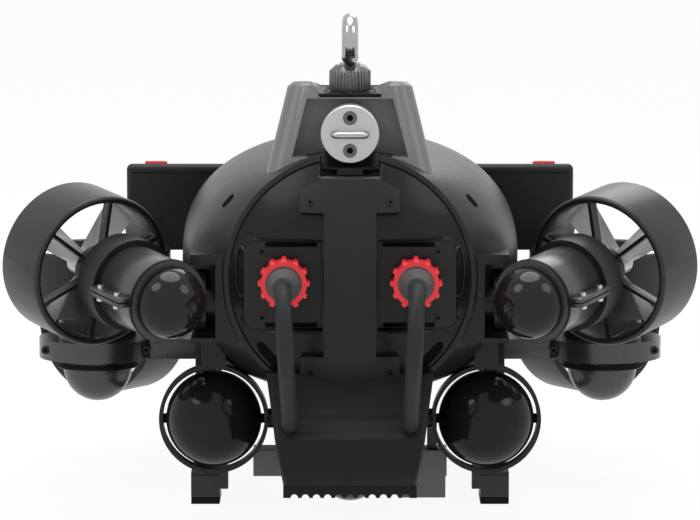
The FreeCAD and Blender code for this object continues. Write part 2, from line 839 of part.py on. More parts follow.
def make_nut():
    body = new_body("lifting_nut")
    bevel = "nut_radius - nut_bevel"
    bore = "eye_neck_radius + running_fit"
    corners = [(bore, "0"), ("nut_radius", "0"), ("nut_radius", "nut_height - nut_bevel"),
               (bevel, "nut_height"), (bore, "nut_height")]
    revolve(body, "turned_nut", outline_sketch(body, "nut_profile", "XZ_Plane", corners))
    flute_sketch = circle_sketch(body, "flute_circle", "XY_Plane", [("nut_radius", "0", "nut_flute_radius")])
    flute = pocket(body, "flute", flute_sketch, "nut_height", reverse=True)
    polar(body, "flutes", flute, flute_sketch, "nut_flute_count")
    body.Placement = Placement(Vector(0, size("nut_y"), size("nut_bottom_z")), Rotation())
    register(body, "lifting_nut")


def make_eye():
    """Swivelling bail: a bar bent over the top, a foot across it and a pin in the nut."""
    top = size("nut_bottom_z + nut_height")
    y, loop, leg = size("nut_y"), size("eye_loop_radius"), size("eye_leg_length")
    foot_z = top + size("eye_neck_height")
    corners = [Vector(0, y - loop, foot_z), Vector(0, y - loop, foot_z + leg + loop),
               Vector(0, y + loop, foot_z + leg + loop), Vector(0, y + loop, foot_z)]
    path = rounded_path(corners, [loop - 0.05, loop - 0.05])
    radius = size("eye_bar_radius")
    section = Part.Wire(Part.Circle(corners[0], Vector(0, 0, 1), radius).toShape())
    bail = path.makePipeShell([section], True, False)
    foot = rod(radius, Vector(0, y - loop - 2, foot_z), Vector(0, y + loop + 2, foot_z))
    pin = rod(size("eye_neck_radius"), Vector(0, y, size("nut_bottom_z - eye_pin_depth") + 0.3),
              Vector(0, y, foot_z))
    shoulder = rod(radius + 2, Vector(0, y, top + 0.1), Vector(0, y, top + 2.1))
    feature("lifting_eye", bail.fuse([foot, pin, shoulder]).removeSplitter())


# ---------------------------------------------------------------- chin

def lead_bore(side, radius):
    route = lead_route(side)
    heading = (route[-1] - route[-2]).normalize()
    return rod(radius, route[-1] - heading * 30, route[-1])


def make_skirt(hull, cap):
    top, low = size("skirt_top_z"), size("skirt_bottom_z")
    knee_y, knee_z = size("skirt_knee_y"), size("skirt_knee_z")
    front = size("skirt_front_y")
    back, rise = size("skirt_slope_run"), size("skirt_slope_rise")
    side_view = [(size("skirt_top_rear_y"), top), (knee_y + back, knee_z + rise), (knee_y, knee_z),
                 (knee_y + size("skirt_tuck_y"), size("skirt_tuck_z")), (knee_y + back, low),
                 (front - size("skirt_toe_run"), low), (front, low + size("skirt_toe_rise")), (front, top)]
    side_view = [Vector(-80, y, z) for y, z in side_view]
    wide, narrow = size("skirt_top_half_width"), size("skirt_bottom_half_width")
    rear_view = [Vector(-wide, -230, top), Vector(-narrow, -230, low), Vector(narrow, -230, low),
                 Vector(wide, -230, top)]
    block = prism(side_view, Vector(160, 0, 0)).common(prism(rear_view, Vector(0, 200, 0)))
    upright = [edge for edge in block.Edges if edge.CenterOfMass.x > narrow - 1
               and edge.CenterOfMass.y < size("skirt_rear_edges_y") and abs(vector_along(edge).x) < 0.9]
    block = block.makeFillet(size("skirt_edge_round"), upright)
    right_half = block.common(box((0, wide + 10), (knee_y - 20, front + 10), (low - 10, top + 10)))
    strip = doc.getObject("tail_strip").Shape
    bore = lead_bore(SIDES["right"], size("lead_radius + lead_hole_clearance"))
    right_half = largest(right_half.cut([hull, cap, strip, bore]))
    feature("chin_skirt", right_half.fuse(right_half.mirror(Vector(), Vector(1, 0, 0))).removeSplitter())


def make_rail():
    """Ribbed accessory rail across the foot of the skirt."""
    half = size("skirt_bottom_half_width")
    top = size("skirt_bottom_z")
    rear = size("skirt_knee_y") + 24
    bar = box((-half, half), (rear, rear + size("rail_depth")), (top - size("rail_height"), top))
    pitch = size("rail_knob_pitch")
    count = int((2 * half - 6) // pitch)
    cuts = []
    for step in range(count):
        x = (step - (count - 1) / 2) * pitch
        start = Vector(x, rear, top - size("rail_height"))
        cuts.append(rod(size("rail_knob_radius"), start, start + Vector(0, size("rail_depth"), 0)))
    feature("payload_rail", bar.cut(cuts))


def make_down_sensor():
    radius = size("sensor_radius")
    middle = Vector(0, size("sensor_y"), size("skirt_bottom_z"))
    ball = Part.makeSphere(radius, middle)
    keep = box((-40, 40), (middle.y - 40, middle.y + 40), (middle.z - 40, middle.z))
    feature("down_sensor", ball.common(keep))


def make_payload_blocks():
    skirt = doc.getObject("chin_skirt").Shape
    ys = (size("block_rear_y"), size("block_front_y"))
    zs = (size("block_bottom_z"), size("block_top_z"))
    outer = size("block_outer_x")
    inner, inset = size("block_inner_x"), size("block_foot_inset")
    left = box((-outer, -inner), ys, zs).cut(skirt)
    right = box((outer, inner), ys, zs)
    post = box((size("post_inner_x"), size("post_outer_x")),
               (ys[0] + size("post_rear_inset"), ys[0] + size("post_front_inset")),
               (zs[1], zs[1] + size("post_height")))
    lower = box((inner + inset, outer - inset), ys, (zs[0] - size("block_foot_drop"), zs[0]))
    right = right.fuse([post, lower]).cut(skirt).removeSplitter()
    pieces = [max(item.Solids, key=lambda part: part.Volume) for item in (left, right)]
    feature("payload_blocks", Part.makeCompound(pieces))


# ---------------------------------------------------------------- thrusters

def pod_heading(kind, side):
    """Direction from the duct towards the dome of the motor pod."""
    yaw = math.radians(size("thruster_yaw"))
    if kind == "vertical":
        return Vector(0, 0, -1)
    if kind == "front":
        return Vector(-side * math.sin(yaw), math.cos(yaw), 0)
    droop = math.radians(size("rear_thruster_droop"))
    level = math.cos(droop)
    return Vector(-side * math.sin(yaw) * level, -math.cos(yaw) * level, -math.sin(droop))


def thruster_placement(kind, side):
    middle = Vector(side * size(f"{kind}_thruster_x"), size(f"{kind}_thruster_y"), size(f"{kind}_thruster_z"))
    return Placement(middle, Rotation(Vector(0, 0, 1), pod_heading(kind, side)))


def hub_bore(kind):
    return "pod_radius" if kind == "vertical" else "pod_neck_radius"


def make_duct(kind, name, side):
    """Round-lipped duct with a spider of thin struts that grips the motor pod."""
    label = f"duct_{kind}_{name}"
    body = new_body(label)
    inner, outer = "duct_bore_radius", "duct_bore_radius + duct_wall"
    half = "duct_length / 2"
    corners = [(inner, f"-{half}"), (outer, f"-{half}"), (outer, half), (inner, half)]
    revolve(body, "shroud", outline_sketch(body, "shroud_profile", "XZ_Plane", corners))
    round_edges(body, "lips", lambda edge: edge.Closed, "duct_lip_round")
    hub = hub_bore(kind)
    strut_half = "strut_width / 2"
    root, tip = f"{hub} + 1", f"{inner} + 1"
    corners = [(root, f"-{strut_half}"), (tip, f"-{strut_half}"), (tip, strut_half), (root, strut_half)]
    lift = f"{half} - strut_depth - 1"
    strut_sketch = outline_sketch(body, "strut_outline", "XY_Plane", corners, lift)
    strut = pad(body, "strut", strut_sketch, "strut_depth")
    polar(body, "struts", strut, strut_sketch, "strut_count")
    rings = [("0", "0", f"{hub} + hub_ring_wall"), ("0", "0", hub)]
    pad(body, "hub_ring", circle_sketch(body, "hub_circles", "XY_Plane", rings, lift), "strut_depth")
    body.Placement = thruster_placement(kind, side)
    register(body, label)


def pod_stations(kind):
    """Start of the neck, start of the shoulder and end of the barrel."""
    if kind == "vertical":
        return "vertical_neck_start", "vertical_shoulder_start", "pod_end - vertical_pod_lift"
    return "pod_neck_start", "pod_shoulder_start", "pod_end"


def make_pod(kind, name, side):
    label = f"motor_pod_{kind}_{name}"
    body = new_body(label)
    start, shoulder, end = pod_stations(kind)
    bore, bore_end = "shaft_radius + running_fit", f"{start} + shaft_reach + 4"
    band, band_start = "pod_radius + pod_band_rise", f"{end} - pod_band_width"
    corners = [(bore, start), ("pod_neck_radius", start), ("pod_neck_radius", shoulder),
               ("pod_radius", f"{shoulder} + pod_shoulder_length"), ("pod_radius", band_start),
               (band, band_start), (band, end), ("0", end), ("0", bore_end), (bore, bore_end)]
    revolve(body, "barrel", outline_sketch(body, "barrel_profile", "XZ_Plane", corners))
    body.Placement = thruster_placement(kind, side)
    register(body, label)


def make_pod_domes():
    domes = []
    for kind, name, side in thruster_list():
        end = size(pod_stations(kind)[2])
        ball = Part.makeSphere(size("pod_dome_radius"), Vector(0, 0, end))
        dome = ball.common(box((-40, 40), (-40, 40), (end, end + 40)))
        dome.Placement = thruster_placement(kind, side)
        domes.append(dome)
    feature("pod_domes", Part.makeCompound(domes))


def blade_section(radius, chord, thickness, pitch):
    """Section of a blade: two shallow arcs that meet at its leading and trailing edges."""
    twist = math.radians(pitch)
    ahead = Vector(0, math.cos(twist), math.sin(twist)) * (chord / 2)
    proud = Vector(0, -math.sin(twist), math.cos(twist)) * (thickness / 2)
    middle = Vector(radius, 0, 0)
    back = Part.Arc(middle - ahead, middle + proud, middle + ahead).toShape()
    face = Part.Arc(middle + ahead, middle - proud, middle - ahead).toShape()
    return Part.Wire([back, face])


def make_propeller(kind, name, side):
    root, tip = size("hub_radius") - 2, size("blade_tip_radius")
    shift = size("vertical_hub_shift") if kind == "vertical" else 0
    sections = []
    for share in (0, 0.5, 1):
        chord = size("blade_root_chord") + share * size("blade_tip_chord - blade_root_chord")
        pitch = size("blade_root_pitch") + share * size("blade_tip_pitch - blade_root_pitch")
        thickness = size("blade_thickness") * (1.3 - 0.6 * share)
        sections.append(blade_section(root + share * (tip - root), chord, thickness, side * pitch))
    blade = Part.makeLoft(sections, True, False)
    blade = blade.common(Part.makeCylinder(tip, 40, Vector(0, 0, -20)))
    half, hub = size("hub_half_length"), size("hub_radius")
    shaft = size("shaft_radius")
    start = size(pod_stations(kind)[0])
    reach = start + size("shaft_reach") - shift
    profile = [(0, -half - 6), (hub * 0.55, -half - 4), (hub, -half + 2), (hub, half), (shaft, half),
               (shaft, reach), (0, reach)]
    solid = spun(profile, Vector(), Vector(0, 0, 1))
    count = int(size("blade_count"))
    blades = []
    for step in range(count):
        turned = blade.copy()
        turned.rotate(Vector(), Vector(0, 0, 1), 360 * step / count)
        blades.append(turned)
    solid = solid.fuse(blades)
    solid.translate(Vector(0, 0, shift))
    feature(f"propeller_{kind}_{name}", solid, thruster_placement(kind, side))


def thruster_list():
    return [(kind, name, side) for kind in ("rear", "front", "vertical") for name, side in SIDES.items()]


# ---------------------------------------------------------------- arms

def collar(kind, side):
    wall = size("pod_radius + collar_wall")
    start = size("collar_start")
    ring = Part.makeCylinder(wall, size("collar_length"), Vector(0, 0, start))
    ring.Placement = thruster_placement(kind, side)
    return ring


def collar_middle(kind, side):
    return thruster_placement(kind, side).multVec(Vector(0, 0, size("collar_start + collar_length / 2")))


def pod_barrel(kind, side):
    barrel = Part.makeCylinder(size("pod_radius"), 200, Vector(0, 0, -20))
    barrel.Placement = thruster_placement(kind, side)
    return barrel


def make_rear_arms(hull, cap):
    arms = []
    for side in SIDES.values():
        inner, step, outer = (side * size(f"arm_block_{edge}_x") for edge in ("inner", "step", "outer"))
        ys = (size("arm_block_rear_y"), size("arm_block_front_y"))
        zs = (size("arm_block_bottom_z"), size("arm_block_top_z"))
        wall = size("arm_wall")
        hollow = box((step, outer + side * 5), (ys[0] - 5, ys[1] - wall), (zs[0] + wall / 2, zs[1] - wall))
        block = box((inner, outer), ys, zs).cut(hollow)
        y, z = size("arm_axis_y"), size("arm_axis_z")
        shaft = rod(size("arm_shaft_radius"), Vector(step - side * 2, y, z), Vector(outer, y, z))
        disc = rod(size("arm_disc_radius"), Vector(side * size("arm_disc_inner_x"), y, z),
                   Vector(side * size("arm_disc_outer_x"), y, z))
        grip = collar_middle("rear", side)
        tube = rod(size("arm_tube_radius"), Vector(side * size("arm_disc_inner_x"), y, z), grip)
        solid = block.fuse([shaft, disc, tube, collar("rear", side)])
        solid = solid.cut([hull, cap, pod_barrel("rear", side)])
        arms.append(max(solid.Solids, key=lambda part: part.Volume))
    feature("rear_arms", Part.makeCompound(arms))


def make_front_arms(hull):
    arms = []
    for side in SIDES.values():
        y, z = size("front_arm_y"), size("front_arm_z")
        inner = Vector(side * 55, y, z)
        root = rod(size("front_pad_radius"), inner, Vector(side * 104, y, z))
        grip = collar_middle("front", side)
        tube = rod(size("arm_tube_radius"), inner, grip)
        solid = root.fuse([tube, collar("front", side)]).cut([hull, pod_barrel("front", side)])
        arms.append(max(solid.Solids, key=lambda part: part.Volume))
    feature("front_arms", Part.makeCompound(arms))


def make_yoke(name, side, hull):
    """Beam from the hull with a ring round the vertical thruster's pod."""
    x, y = side * size("vertical_thruster_x"), size("vertical_thruster_y")
    low, thick = size("yoke_bottom_z"), size("yoke_thickness")
    half = size("yoke_beam_half_width")
    beam = box((side * size("yoke_root_x"), x - side * 10), (y - half, y + half), (low, low + thick))
    ring = Part.makeCylinder(size("yoke_ring_radius"), thick, Vector(x, y, low))
    cuts = [hull, Part.makeCylinder(size("pod_radius"), 100, Vector(x, y, low - 20))]
    for sign in (-1, 1):
        spot = Vector(x + sign * size("yoke_screw_offset"), y - size("yoke_ring_radius") - 5, low + thick / 2)
        cuts.append(rod(size("yoke_screw_radius"), spot, spot + Vector(0, 38, 0)))
    solid = beam.fuse(ring).cut(cuts)
    feature(f"yoke_{name}", max(solid.Solids, key=lambda part: part.Volume).removeSplitter())


# ---------------------------------------------------------------- battery boxes

def top_slope():
    return math.atan2(size("box_rear_top_z - box_front_top_z"), size("box_front_y - box_rear_y"))


def catch_block(side, length, low, high, grow):
    """Block on the sloping lid of a battery box, measured from its stern edge."""
    width = size("catch_width") + 2 * grow
    block = Part.makeBox(width, length, high - low, Vector(-width / 2, -grow, low))
    x = side * (size("catch_inner_x") + size("catch_width") / 2)
    start = Vector(x, size("box_rear_y") + 6, size("box_rear_top_z") - 6 * math.tan(top_slope()))
    block.Placement = Placement(start, Rotation(Vector(1, 0, 0), -math.degrees(top_slope())))
    return block


def make_battery_box(name, side, hull):
    body = new_body(f"battery_case_{name}")
    corners = [("box_rear_y", "box_bottom_z"), ("box_front_y", "box_bottom_z"),
               ("box_front_y", "box_front_top_z"), ("box_rear_y", "box_rear_top_z")]
    inner = "box_inner_x" if side > 0 else "-box_inner_x"
    sketch = outline_sketch(body, "case_side", "YZ_Plane", corners, inner)
    pad(body, "case", sketch, "box_outer_x - box_inner_x", reverse=side < 0)
    outer, lid = side * size("box_outer_x"), size("box_front_top_z")

    def is_soft(edge):
        on_lid = is_along(edge, Vector(1, 0, 0)) and edge.CenterOfMass.z > lid - 1
        return on_lid or abs(edge.CenterOfMass.x - outer) < 1

    round_edges(body, "soft_edges", is_soft, "box_edge_round")
    shade = size("catch_height - catch_proud") + size("catch_clearance")
    channel = catch_block(side, size("catch_length + catch_travel") + 2, -shade, 4, size("catch_clearance"))
    solid = body.Shape.cut([hull, doc.getObject("tower_fairing").Shape, channel])
    feature(f"battery_box_{name}", max(solid.Solids, key=lambda part: part.Volume))


def make_battery_catch(name, side):
    low = -size("catch_height - catch_proud")
    block = catch_block(side, size("catch_length"), low, size("catch_proud"), 0)
    feature(f"battery_catch_{name}", block)


# ---------------------------------------------------------------- lamps

def lamp_middle(side):
    return Vector(side * size("lamp_x"), size("lamp_y"), size("lamp_z"))


def make_lamp(name, side):
    middle = lamp_middle(side)
    face = middle.y + size("lamp_face_y")
    ball = Part.makeSphere(size("lamp_ball_radius"), middle)
    ball = ball.cut(box((middle.x - 60, middle.x + 60), (face, face + 60), (middle.z - 60, middle.z + 60)))
    axis_start = Vector(middle.x, face - size("lamp_lens_thickness"), middle.z)
    ball = ball.cut(rod(size("lamp_lens_radius"), axis_start, axis_start + Vector(0, 10, 0)))
    reach = size("lamp_ring_outer_radius") - 0.6
    pin = rod(size("lamp_pin_radius"), middle - Vector(reach, 0, 0), middle + Vector(reach, 0, 0))
    feature(f"lamp_{name}", ball.fuse(pin).removeSplitter())
    lens = rod(size("lamp_lens_radius"), axis_start, axis_start + Vector(0, size("lamp_lens_thickness"), 0))
    feature(f"lamp_lens_{name}", lens)


def make_lamp_ring(name, side, hull):
    middle = lamp_middle(side)
    outer, wall = size("lamp_ring_outer_radius"), size("lamp_ring_wall")
    half = size("lamp_ring_width") / 2
    start, end = middle - Vector(0, half, 0), middle + Vector(0, half, 0)
    boss = rod(size("lamp_boss_radius"), middle - Vector(side * (outer - 1), 0, 0),
               middle - Vector(side * (outer + size("lamp_boss_length")), 0, 0))
    hanger_half = size("hanger_half_width")
    hanger = box((middle.x - hanger_half, middle.x + hanger_half), (start.y, end.y),
                 (middle.z + outer - wall, middle.z + outer + size("hanger_height")))
    opening = rod(outer - wall, start - Vector(0, 5, 0), end + Vector(0, 5, 0))
    across = Vector(outer, 0, 0)
    pin_hole = rod(size("lamp_pin_radius + running_fit"), middle - across, middle + across)
    cuts = [opening, hull, doc.getObject("chin_skirt").Shape, pin_hole]
    solid = rod(outer, start, end).fuse([boss, hanger]).cut(cuts)
    feature(f"lamp_ring_{name}", max(solid.Solids, key=lambda part: part.Volume).removeSplitter())


# ---------------------------------------------------------------- skids

def make_skid(name, side, hull):
    xs = (side * size("skid_inner_x"), side * size("skid_outer_x"))
    runner = box(xs, (size("skid_rear_y"), size("skid_front_y")), (size("pad_height"), size("skid_top_z")))
    ends = [edge for edge in runner.Edges if is_along(edge, Vector(1, 0, 0))
            and edge.CenterOfMass.z > size("pad_height") + 1]
    runner = runner.makeFillet(size("skid_edge_round"), ends)
    inset = side * size("leg_inset")
    legs = []
    for y in (size("rear_leg_y"), size("front_leg_y")):
        ys = (y - size("leg_half_length"), y + size("leg_half_length"))
        legs.append(box((xs[0] + inset, xs[1] - inset), ys, (size("skid_top_z") - 2, 160)))
    flange = box((xs[0], xs[0] - side * size("flange_depth")),
                 (size("skid_rear_y"), size("skid_rear_y + flange_length")),
                 (size("flange_bottom_z"), size("flange_top_z")))
    solid = runner.fuse(legs + [flange]).cut(hull)
    feature(f"skid_{name}", max(solid.Solids, key=lambda part: part.Volume).removeSplitter())


def make_foot_pads():
    pads = []
    for side in SIDES.values():
        for y in (size("skid_rear_y"), size("skid_front_y - pad_length")):
            pads.append(box((side * size("skid_inner_x"), side * size("skid_outer_x")),
                            (y, y + size("pad_length")), (0, size("pad_height"))))
    feature("foot_pads", Part.makeCompound(pads))


# ---------------------------------------------------------------- nose

def dome_radius():
    return size("nose_rim_radius - bezel_width")


def make_nose():
    rim = size("nose_rim_y")
    front = rim + size("bezel_thickness")
    outer, inner = size("nose_rim_radius"), dome_radius()
    profile = [(inner + 0.05, 0), (outer, 0), (outer - 4, front - rim), (inner + 0.05, front - rim)]
    feature("nose_bezel", spun(profile, on_axis(rim), Vector(0, 1, 0)))
    ball = Part.makeSphere(inner, on_axis(rim)).cut(Part.makeSphere(inner - size("dome_wall"), on_axis(rim)))
    keep = box((-90, 90), (rim, rim + 90), (size("hull_axis_height") - 90, size("hull_axis_height") + 90))
    feature("camera_dome", ball.common(keep))


def make_camera():
    middle = on_axis(size("camera_y"))
    radius = size("camera_radius")
    ball = Part.makeSphere(radius, middle)
    flat = box((-50, 50), (middle.y + radius - 5, middle.y + 60), (middle.z - 50, middle.z + 50))
    lens_start = on_axis(middle.y + radius - 9)
    lens_bore = rod(size("camera_lens_radius"), lens_start, lens_start + Vector(0, 20, 0))
    lens = Part.makeSphere(20, on_axis(middle.y + radius - 26)).common(
        rod(size("camera_lens_radius"), on_axis(middle.y + radius - 20), on_axis(middle.y + radius)))
    feature("camera_head", ball.cut([flat, lens_bore]).fuse([lens, camera_pin(0)]).removeSplitter())


# ---------------------------------------------------------------- assembly

def build():
    hull = make_hull()
    feature("hull_shell", hull)
    make_tail_cap()
    cap = doc.getObject("tail_cap").Shape
    make_tail_strip()
    make_tail_latch()
    make_connector_panels()
    make_tower(hull)
    make_tether_disc()
    make_tether_bar()
    make_grille()
    make_nut()
    make_eye()
    make_skirt(hull, cap)
    make_rail()
    make_down_sensor()
    make_payload_blocks()
    for kind, name, side in thruster_list():
        make_duct(kind, name, side)
        make_pod(kind, name, side)
        make_propeller(kind, name, side)
    make_pod_domes()
    make_rear_arms(hull, cap)
    make_front_arms(hull)
    for name, side in SIDES.items():
        make_connector(name, side)
        make_locking_ring(name, side)
        make_lead(name, side)
        make_yoke(name, side, hull)
        make_battery_box(name, side, hull)
        make_battery_catch(name, side)
        make_lamp(name, side)
        make_lamp_ring(name, side, hull)
        make_skid(name, side, hull)
    make_foot_pads()
    make_nose()
    make_camera()
    doc.recompute()


def check_document():
    for item in doc.Objects:
        if "Invalid" in item.State or "Error" in item.State:
            raise RuntimeError(f"{item.Label} failed: {item.State}")
    for item in SUBPARTS:
        if item.Shape.isNull() or not item.Shape.isValid() or not item.Shape.Solids:
            raise RuntimeError(f"{item.Label} has no valid solid")


def write_parts():
    os.makedirs("parts", exist_ok=True)
    for item in SUBPARTS:
        item.Shape.exportStep(os.path.join("parts", f"{item.Label}.step"))


build()
check_document()
write_parts()
print(f"{len(SUBPARTS)} sub-parts")
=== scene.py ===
import json
import math

import bmesh
import bpy
from mathutils import Matrix, Vector
from mathutils.bvhtree import BVHTree


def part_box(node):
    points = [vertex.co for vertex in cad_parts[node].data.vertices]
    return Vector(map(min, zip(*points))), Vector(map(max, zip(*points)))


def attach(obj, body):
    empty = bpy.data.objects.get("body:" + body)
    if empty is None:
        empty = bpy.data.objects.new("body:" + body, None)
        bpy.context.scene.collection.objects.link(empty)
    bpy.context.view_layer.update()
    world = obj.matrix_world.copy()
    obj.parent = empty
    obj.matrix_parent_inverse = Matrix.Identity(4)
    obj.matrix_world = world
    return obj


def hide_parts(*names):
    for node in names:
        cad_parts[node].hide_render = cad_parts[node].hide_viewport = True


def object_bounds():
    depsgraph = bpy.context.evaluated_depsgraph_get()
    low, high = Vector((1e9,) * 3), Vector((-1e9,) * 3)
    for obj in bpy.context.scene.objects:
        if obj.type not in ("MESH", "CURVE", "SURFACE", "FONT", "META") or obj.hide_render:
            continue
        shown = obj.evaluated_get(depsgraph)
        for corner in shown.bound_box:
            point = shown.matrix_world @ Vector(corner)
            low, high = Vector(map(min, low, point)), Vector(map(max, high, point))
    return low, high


bl_info = {
    "name": "Inspection Craft Finish",
    "version": (1, 0, 0),
    "blender": (4, 5, 0),
    "location": "View3D > Sidebar > Craft",
    "description": "Dresses the inspection craft's frame with finishes, fasteners and small fittings",
    "category": "Object",
}

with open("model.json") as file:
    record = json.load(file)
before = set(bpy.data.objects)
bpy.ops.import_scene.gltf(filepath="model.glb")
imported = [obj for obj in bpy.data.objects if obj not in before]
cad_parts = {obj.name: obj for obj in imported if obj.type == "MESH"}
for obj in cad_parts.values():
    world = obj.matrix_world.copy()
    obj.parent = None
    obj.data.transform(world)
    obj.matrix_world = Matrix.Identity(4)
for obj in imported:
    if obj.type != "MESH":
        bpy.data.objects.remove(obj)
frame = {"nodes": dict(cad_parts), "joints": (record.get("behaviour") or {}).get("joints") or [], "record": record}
CAD_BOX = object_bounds()
NODES = frame["nodes"]
JOINTS = {joint["name"]: joint for joint in frame["joints"]}
BODIES = frame["record"]["behaviour"]["bodies"]
SLOT_OF = {part["node"]: part["material_slot"] for part in frame["record"]["subparts"]}
COLOURS = {entry["slot"]: entry["base_color"] for entry in frame["record"]["materials"]}
BODY_OF = {node: body for body, members in BODIES.items() for node in members}
ROOT = "rov_body"
SIDES = {"left": -1, "right": 1}
THRUSTERS = [(kind, side) for kind in ("rear", "front", "vertical") for side in SIDES]
AHEAD = Vector((0, 1, 0))
ASTERN = CAD_BOX[0].y - 0.1     # rays that look for a surface from astern start here
SHADE_ANGLE = math.radians(32)  # edges flatter than this are shaded as one surface

# Tone against the record's colour, roughness, metallic, coat, specular level,
# grain's noise scale, grain's depth in metres and share of smudging.
FINISHES = {
    "hull": (0.80, 0.36, 0.0, 0.0, 0.24, 1500, 0.00006, 0.14),
    "cap": (0.80, 0.28, 0.0, 0.05, 0.13, 1700, 0.00004, 0.12),
    "strip": (0.70, 0.36, 0.0, 0.0, 0.17, 1500, 0.00006, 0.12),
    "panel": (0.90, 0.30, 0.0, 0.0, 0.22, 1700, 0.00003, 0.10),
    "tower": (1.6, 0.34, 0.0, 0.0, 0.40, 1400, 0.00007, 0.14),
    "grille": (0.70, 0.45, 0.0, 0.0, 0.15, 1500, 0.00006, 0.10),
    "steel": (0.85, 0.30, 1.0, 0.0, 0.5, 900, 0.00004, 0.16),
    "polished": (0.85, 0.12, 1.0, 0.0, 0.5, 500, 0.00001, 0.06),
    "silver": (1.0, 0.36, 1.0, 0.0, 0.5, 2200, 0.00003, 0.10),
    "red": (1.10, 0.30, 0.0, 0.2, 0.4, 1200, 0.00003, 0.10),
    "boot": (1.0, 0.52, 0.0, 0.0, 0.3, 1300, 0.00008, 0.12),
    "lead": (0.80, 0.50, 0.0, 0.0, 0.10, 1100, 0.00008, 0.14),
    "skirt": (0.70, 0.40, 0.0, 0.0, 0.10, 1500, 0.00006, 0.14),
    "dark": (1.0, 0.16, 0.0, 0.1, 0.25, 700, 0.00001, 0.06),
    "grey": (1.1, 0.48, 0.9, 0.0, 0.5, 2600, 0.00006, 0.10),
    "duct": (0.90, 0.32, 0.0, 0.0, 0.32, 1500, 0.00005, 0.14),
    "pod": (1.0, 0.27, 0.3, 0.0, 0.8, 1900, 0.00003, 0.12),
    "dome": (1.0, 0.08, 0.0, 0.1, 0.20, 500, 0.00001, 0.05),
    "blade": (1.4, 0.14, 0.0, 0.5, 0.6, 700, 0.00002, 0.08),
    "arm": (0.80, 0.30, 0.2, 0.0, 0.25, 1900, 0.00004, 0.12),
    "case": (1.25, 0.46, 0.0, 0.0, 0.20, 1300, 0.00008, 0.14),
    "lamp": (0.80, 0.12, 0.0, 0.1, 0.12, 600, 0.00001, 0.06),
    "skid": (1.4, 0.42, 0.3, 0.0, 0.3, 1500, 0.00006, 0.16),
    "pad": (0.25, 0.60, 0.0, 0.0, 0.12, 1000, 0.00010, 0.10),
    # near black and almost glossless: painted shade of sockets, slits, grooves and recesses
    "hollow": (1.0, 0.70, 0.0, 0.0, 0.02, 1000, 0.00004, 0.10),
}
# Nodes shown in another slot's finish than the record gives them.
LOOKS = {"yoke_left": "pod", "yoke_right": "pod"}
BEVELLED = ("battery_box_left", "battery_box_right", "rear_arms", "skid_left", "skid_right", "chin_skirt",
            "payload_blocks", "payload_rail", "tail_strip", "tail_latch", "battery_catch_left",
            "battery_catch_right", "foot_pads", "yoke_left", "yoke_right")


class CraftSizes(bpy.types.PropertyGroup):
    """Sizes of the small fittings that the frame leaves out."""

    edge_break: bpy.props.FloatProperty(
        name="Edge Break", description="Width of the broken edge on square-cut pieces",
        default=0.0008, min=0.0, unit="LENGTH")
    smooth_angle: bpy.props.FloatProperty(
        name="Smooth Angle", description="Edges flatter than this are shaded as one surface",
        default=SHADE_ANGLE, subtype="ANGLE")
    bevel_angle: bpy.props.FloatProperty(
        name="Bevel Angle", description="Edges sharper than this are broken",
        default=math.radians(40), subtype="ANGLE")
    cover_screw: bpy.props.FloatProperty(
        name="Cover Screw", description="Head radius of the screws in the covers",
        default=0.0030, min=0.0, unit="LENGTH")
    clamp_screw: bpy.props.FloatProperty(
        name="Clamp Screw", description="Head radius of the screws in the pod clamps",
        default=0.0034, min=0.0, unit="LENGTH")
    flange_reach: bpy.props.FloatProperty(
        name="Flange Reach", description="How far a pod clamp's flange stands off the pod",
        default=0.0085, min=0.0, unit="LENGTH")
    flange_thickness: bpy.props.FloatProperty(
        name="Flange Thickness", description="Thickness of each half of a pod clamp's flange",
        default=0.0038, min=0.0, unit="LENGTH")
    disc_screw: bpy.props.FloatProperty(
        name="Disc Screw", description="Head radius of the screws in the tether disc",
        default=0.0056, min=0.0, unit="LENGTH")
    bezel_screw: bpy.props.FloatProperty(
        name="Bezel Screw", description="Head radius of the screws in the nose bezel",
        default=0.0024, min=0.0, unit="LENGTH")
    bezel_screws: bpy.props.IntProperty(
        name="Bezel Screws", description="Number of screws round the nose bezel", default=12, min=3)
    band_ribs: bpy.props.IntProperty(
        name="Band Ribs", description="Number of ribs round the end of a motor pod", default=120, min=8)
    rib_proud: bpy.props.FloatProperty(
        name="Rib Height", description="How far a rib stands off its band", default=0.0004, unit="LENGTH")
    lip_tube: bpy.props.FloatProperty(
        name="Lip Roll", description="Radius of the rolled lip of a duct", default=0.0027, unit="LENGTH")


class CraftColours(bpy.types.PropertyGroup):
    """Colours of the fittings and of the ground."""

    bright_screw: bpy.props.FloatVectorProperty(
        name="Bright Screws", description="Colour of the plated clamp screws", subtype="COLOR",
        default=(0.55, 0.56, 0.57), min=0.0, max=1.0)
    worn_screw: bpy.props.FloatVectorProperty(
        name="Worn Screws", description="Colour of the screws in the tether disc", subtype="COLOR",
        default=(0.12, 0.12, 0.125), min=0.0, max=1.0)
    # The black of these screws also stands for painted shade in the holes of the covers and yokes.
    black_screw: bpy.props.FloatVectorProperty(
        name="Black Screws", description="Colour of the blackened cover screws", subtype="COLOR",
        default=(0.012, 0.012, 0.013), min=0.0, max=1.0)
    dust: bpy.props.FloatVectorProperty(
        name="Dust", description="Colour of the dried marks on dark surfaces", subtype="COLOR",
        default=(0.20, 0.20, 0.205), min=0.0, max=1.0)
    ground: bpy.props.FloatVectorProperty(
        name="Ground", description="Colour of the floor", subtype="COLOR",
        default=(0.95, 0.95, 0.95), min=0.0, max=1.0)


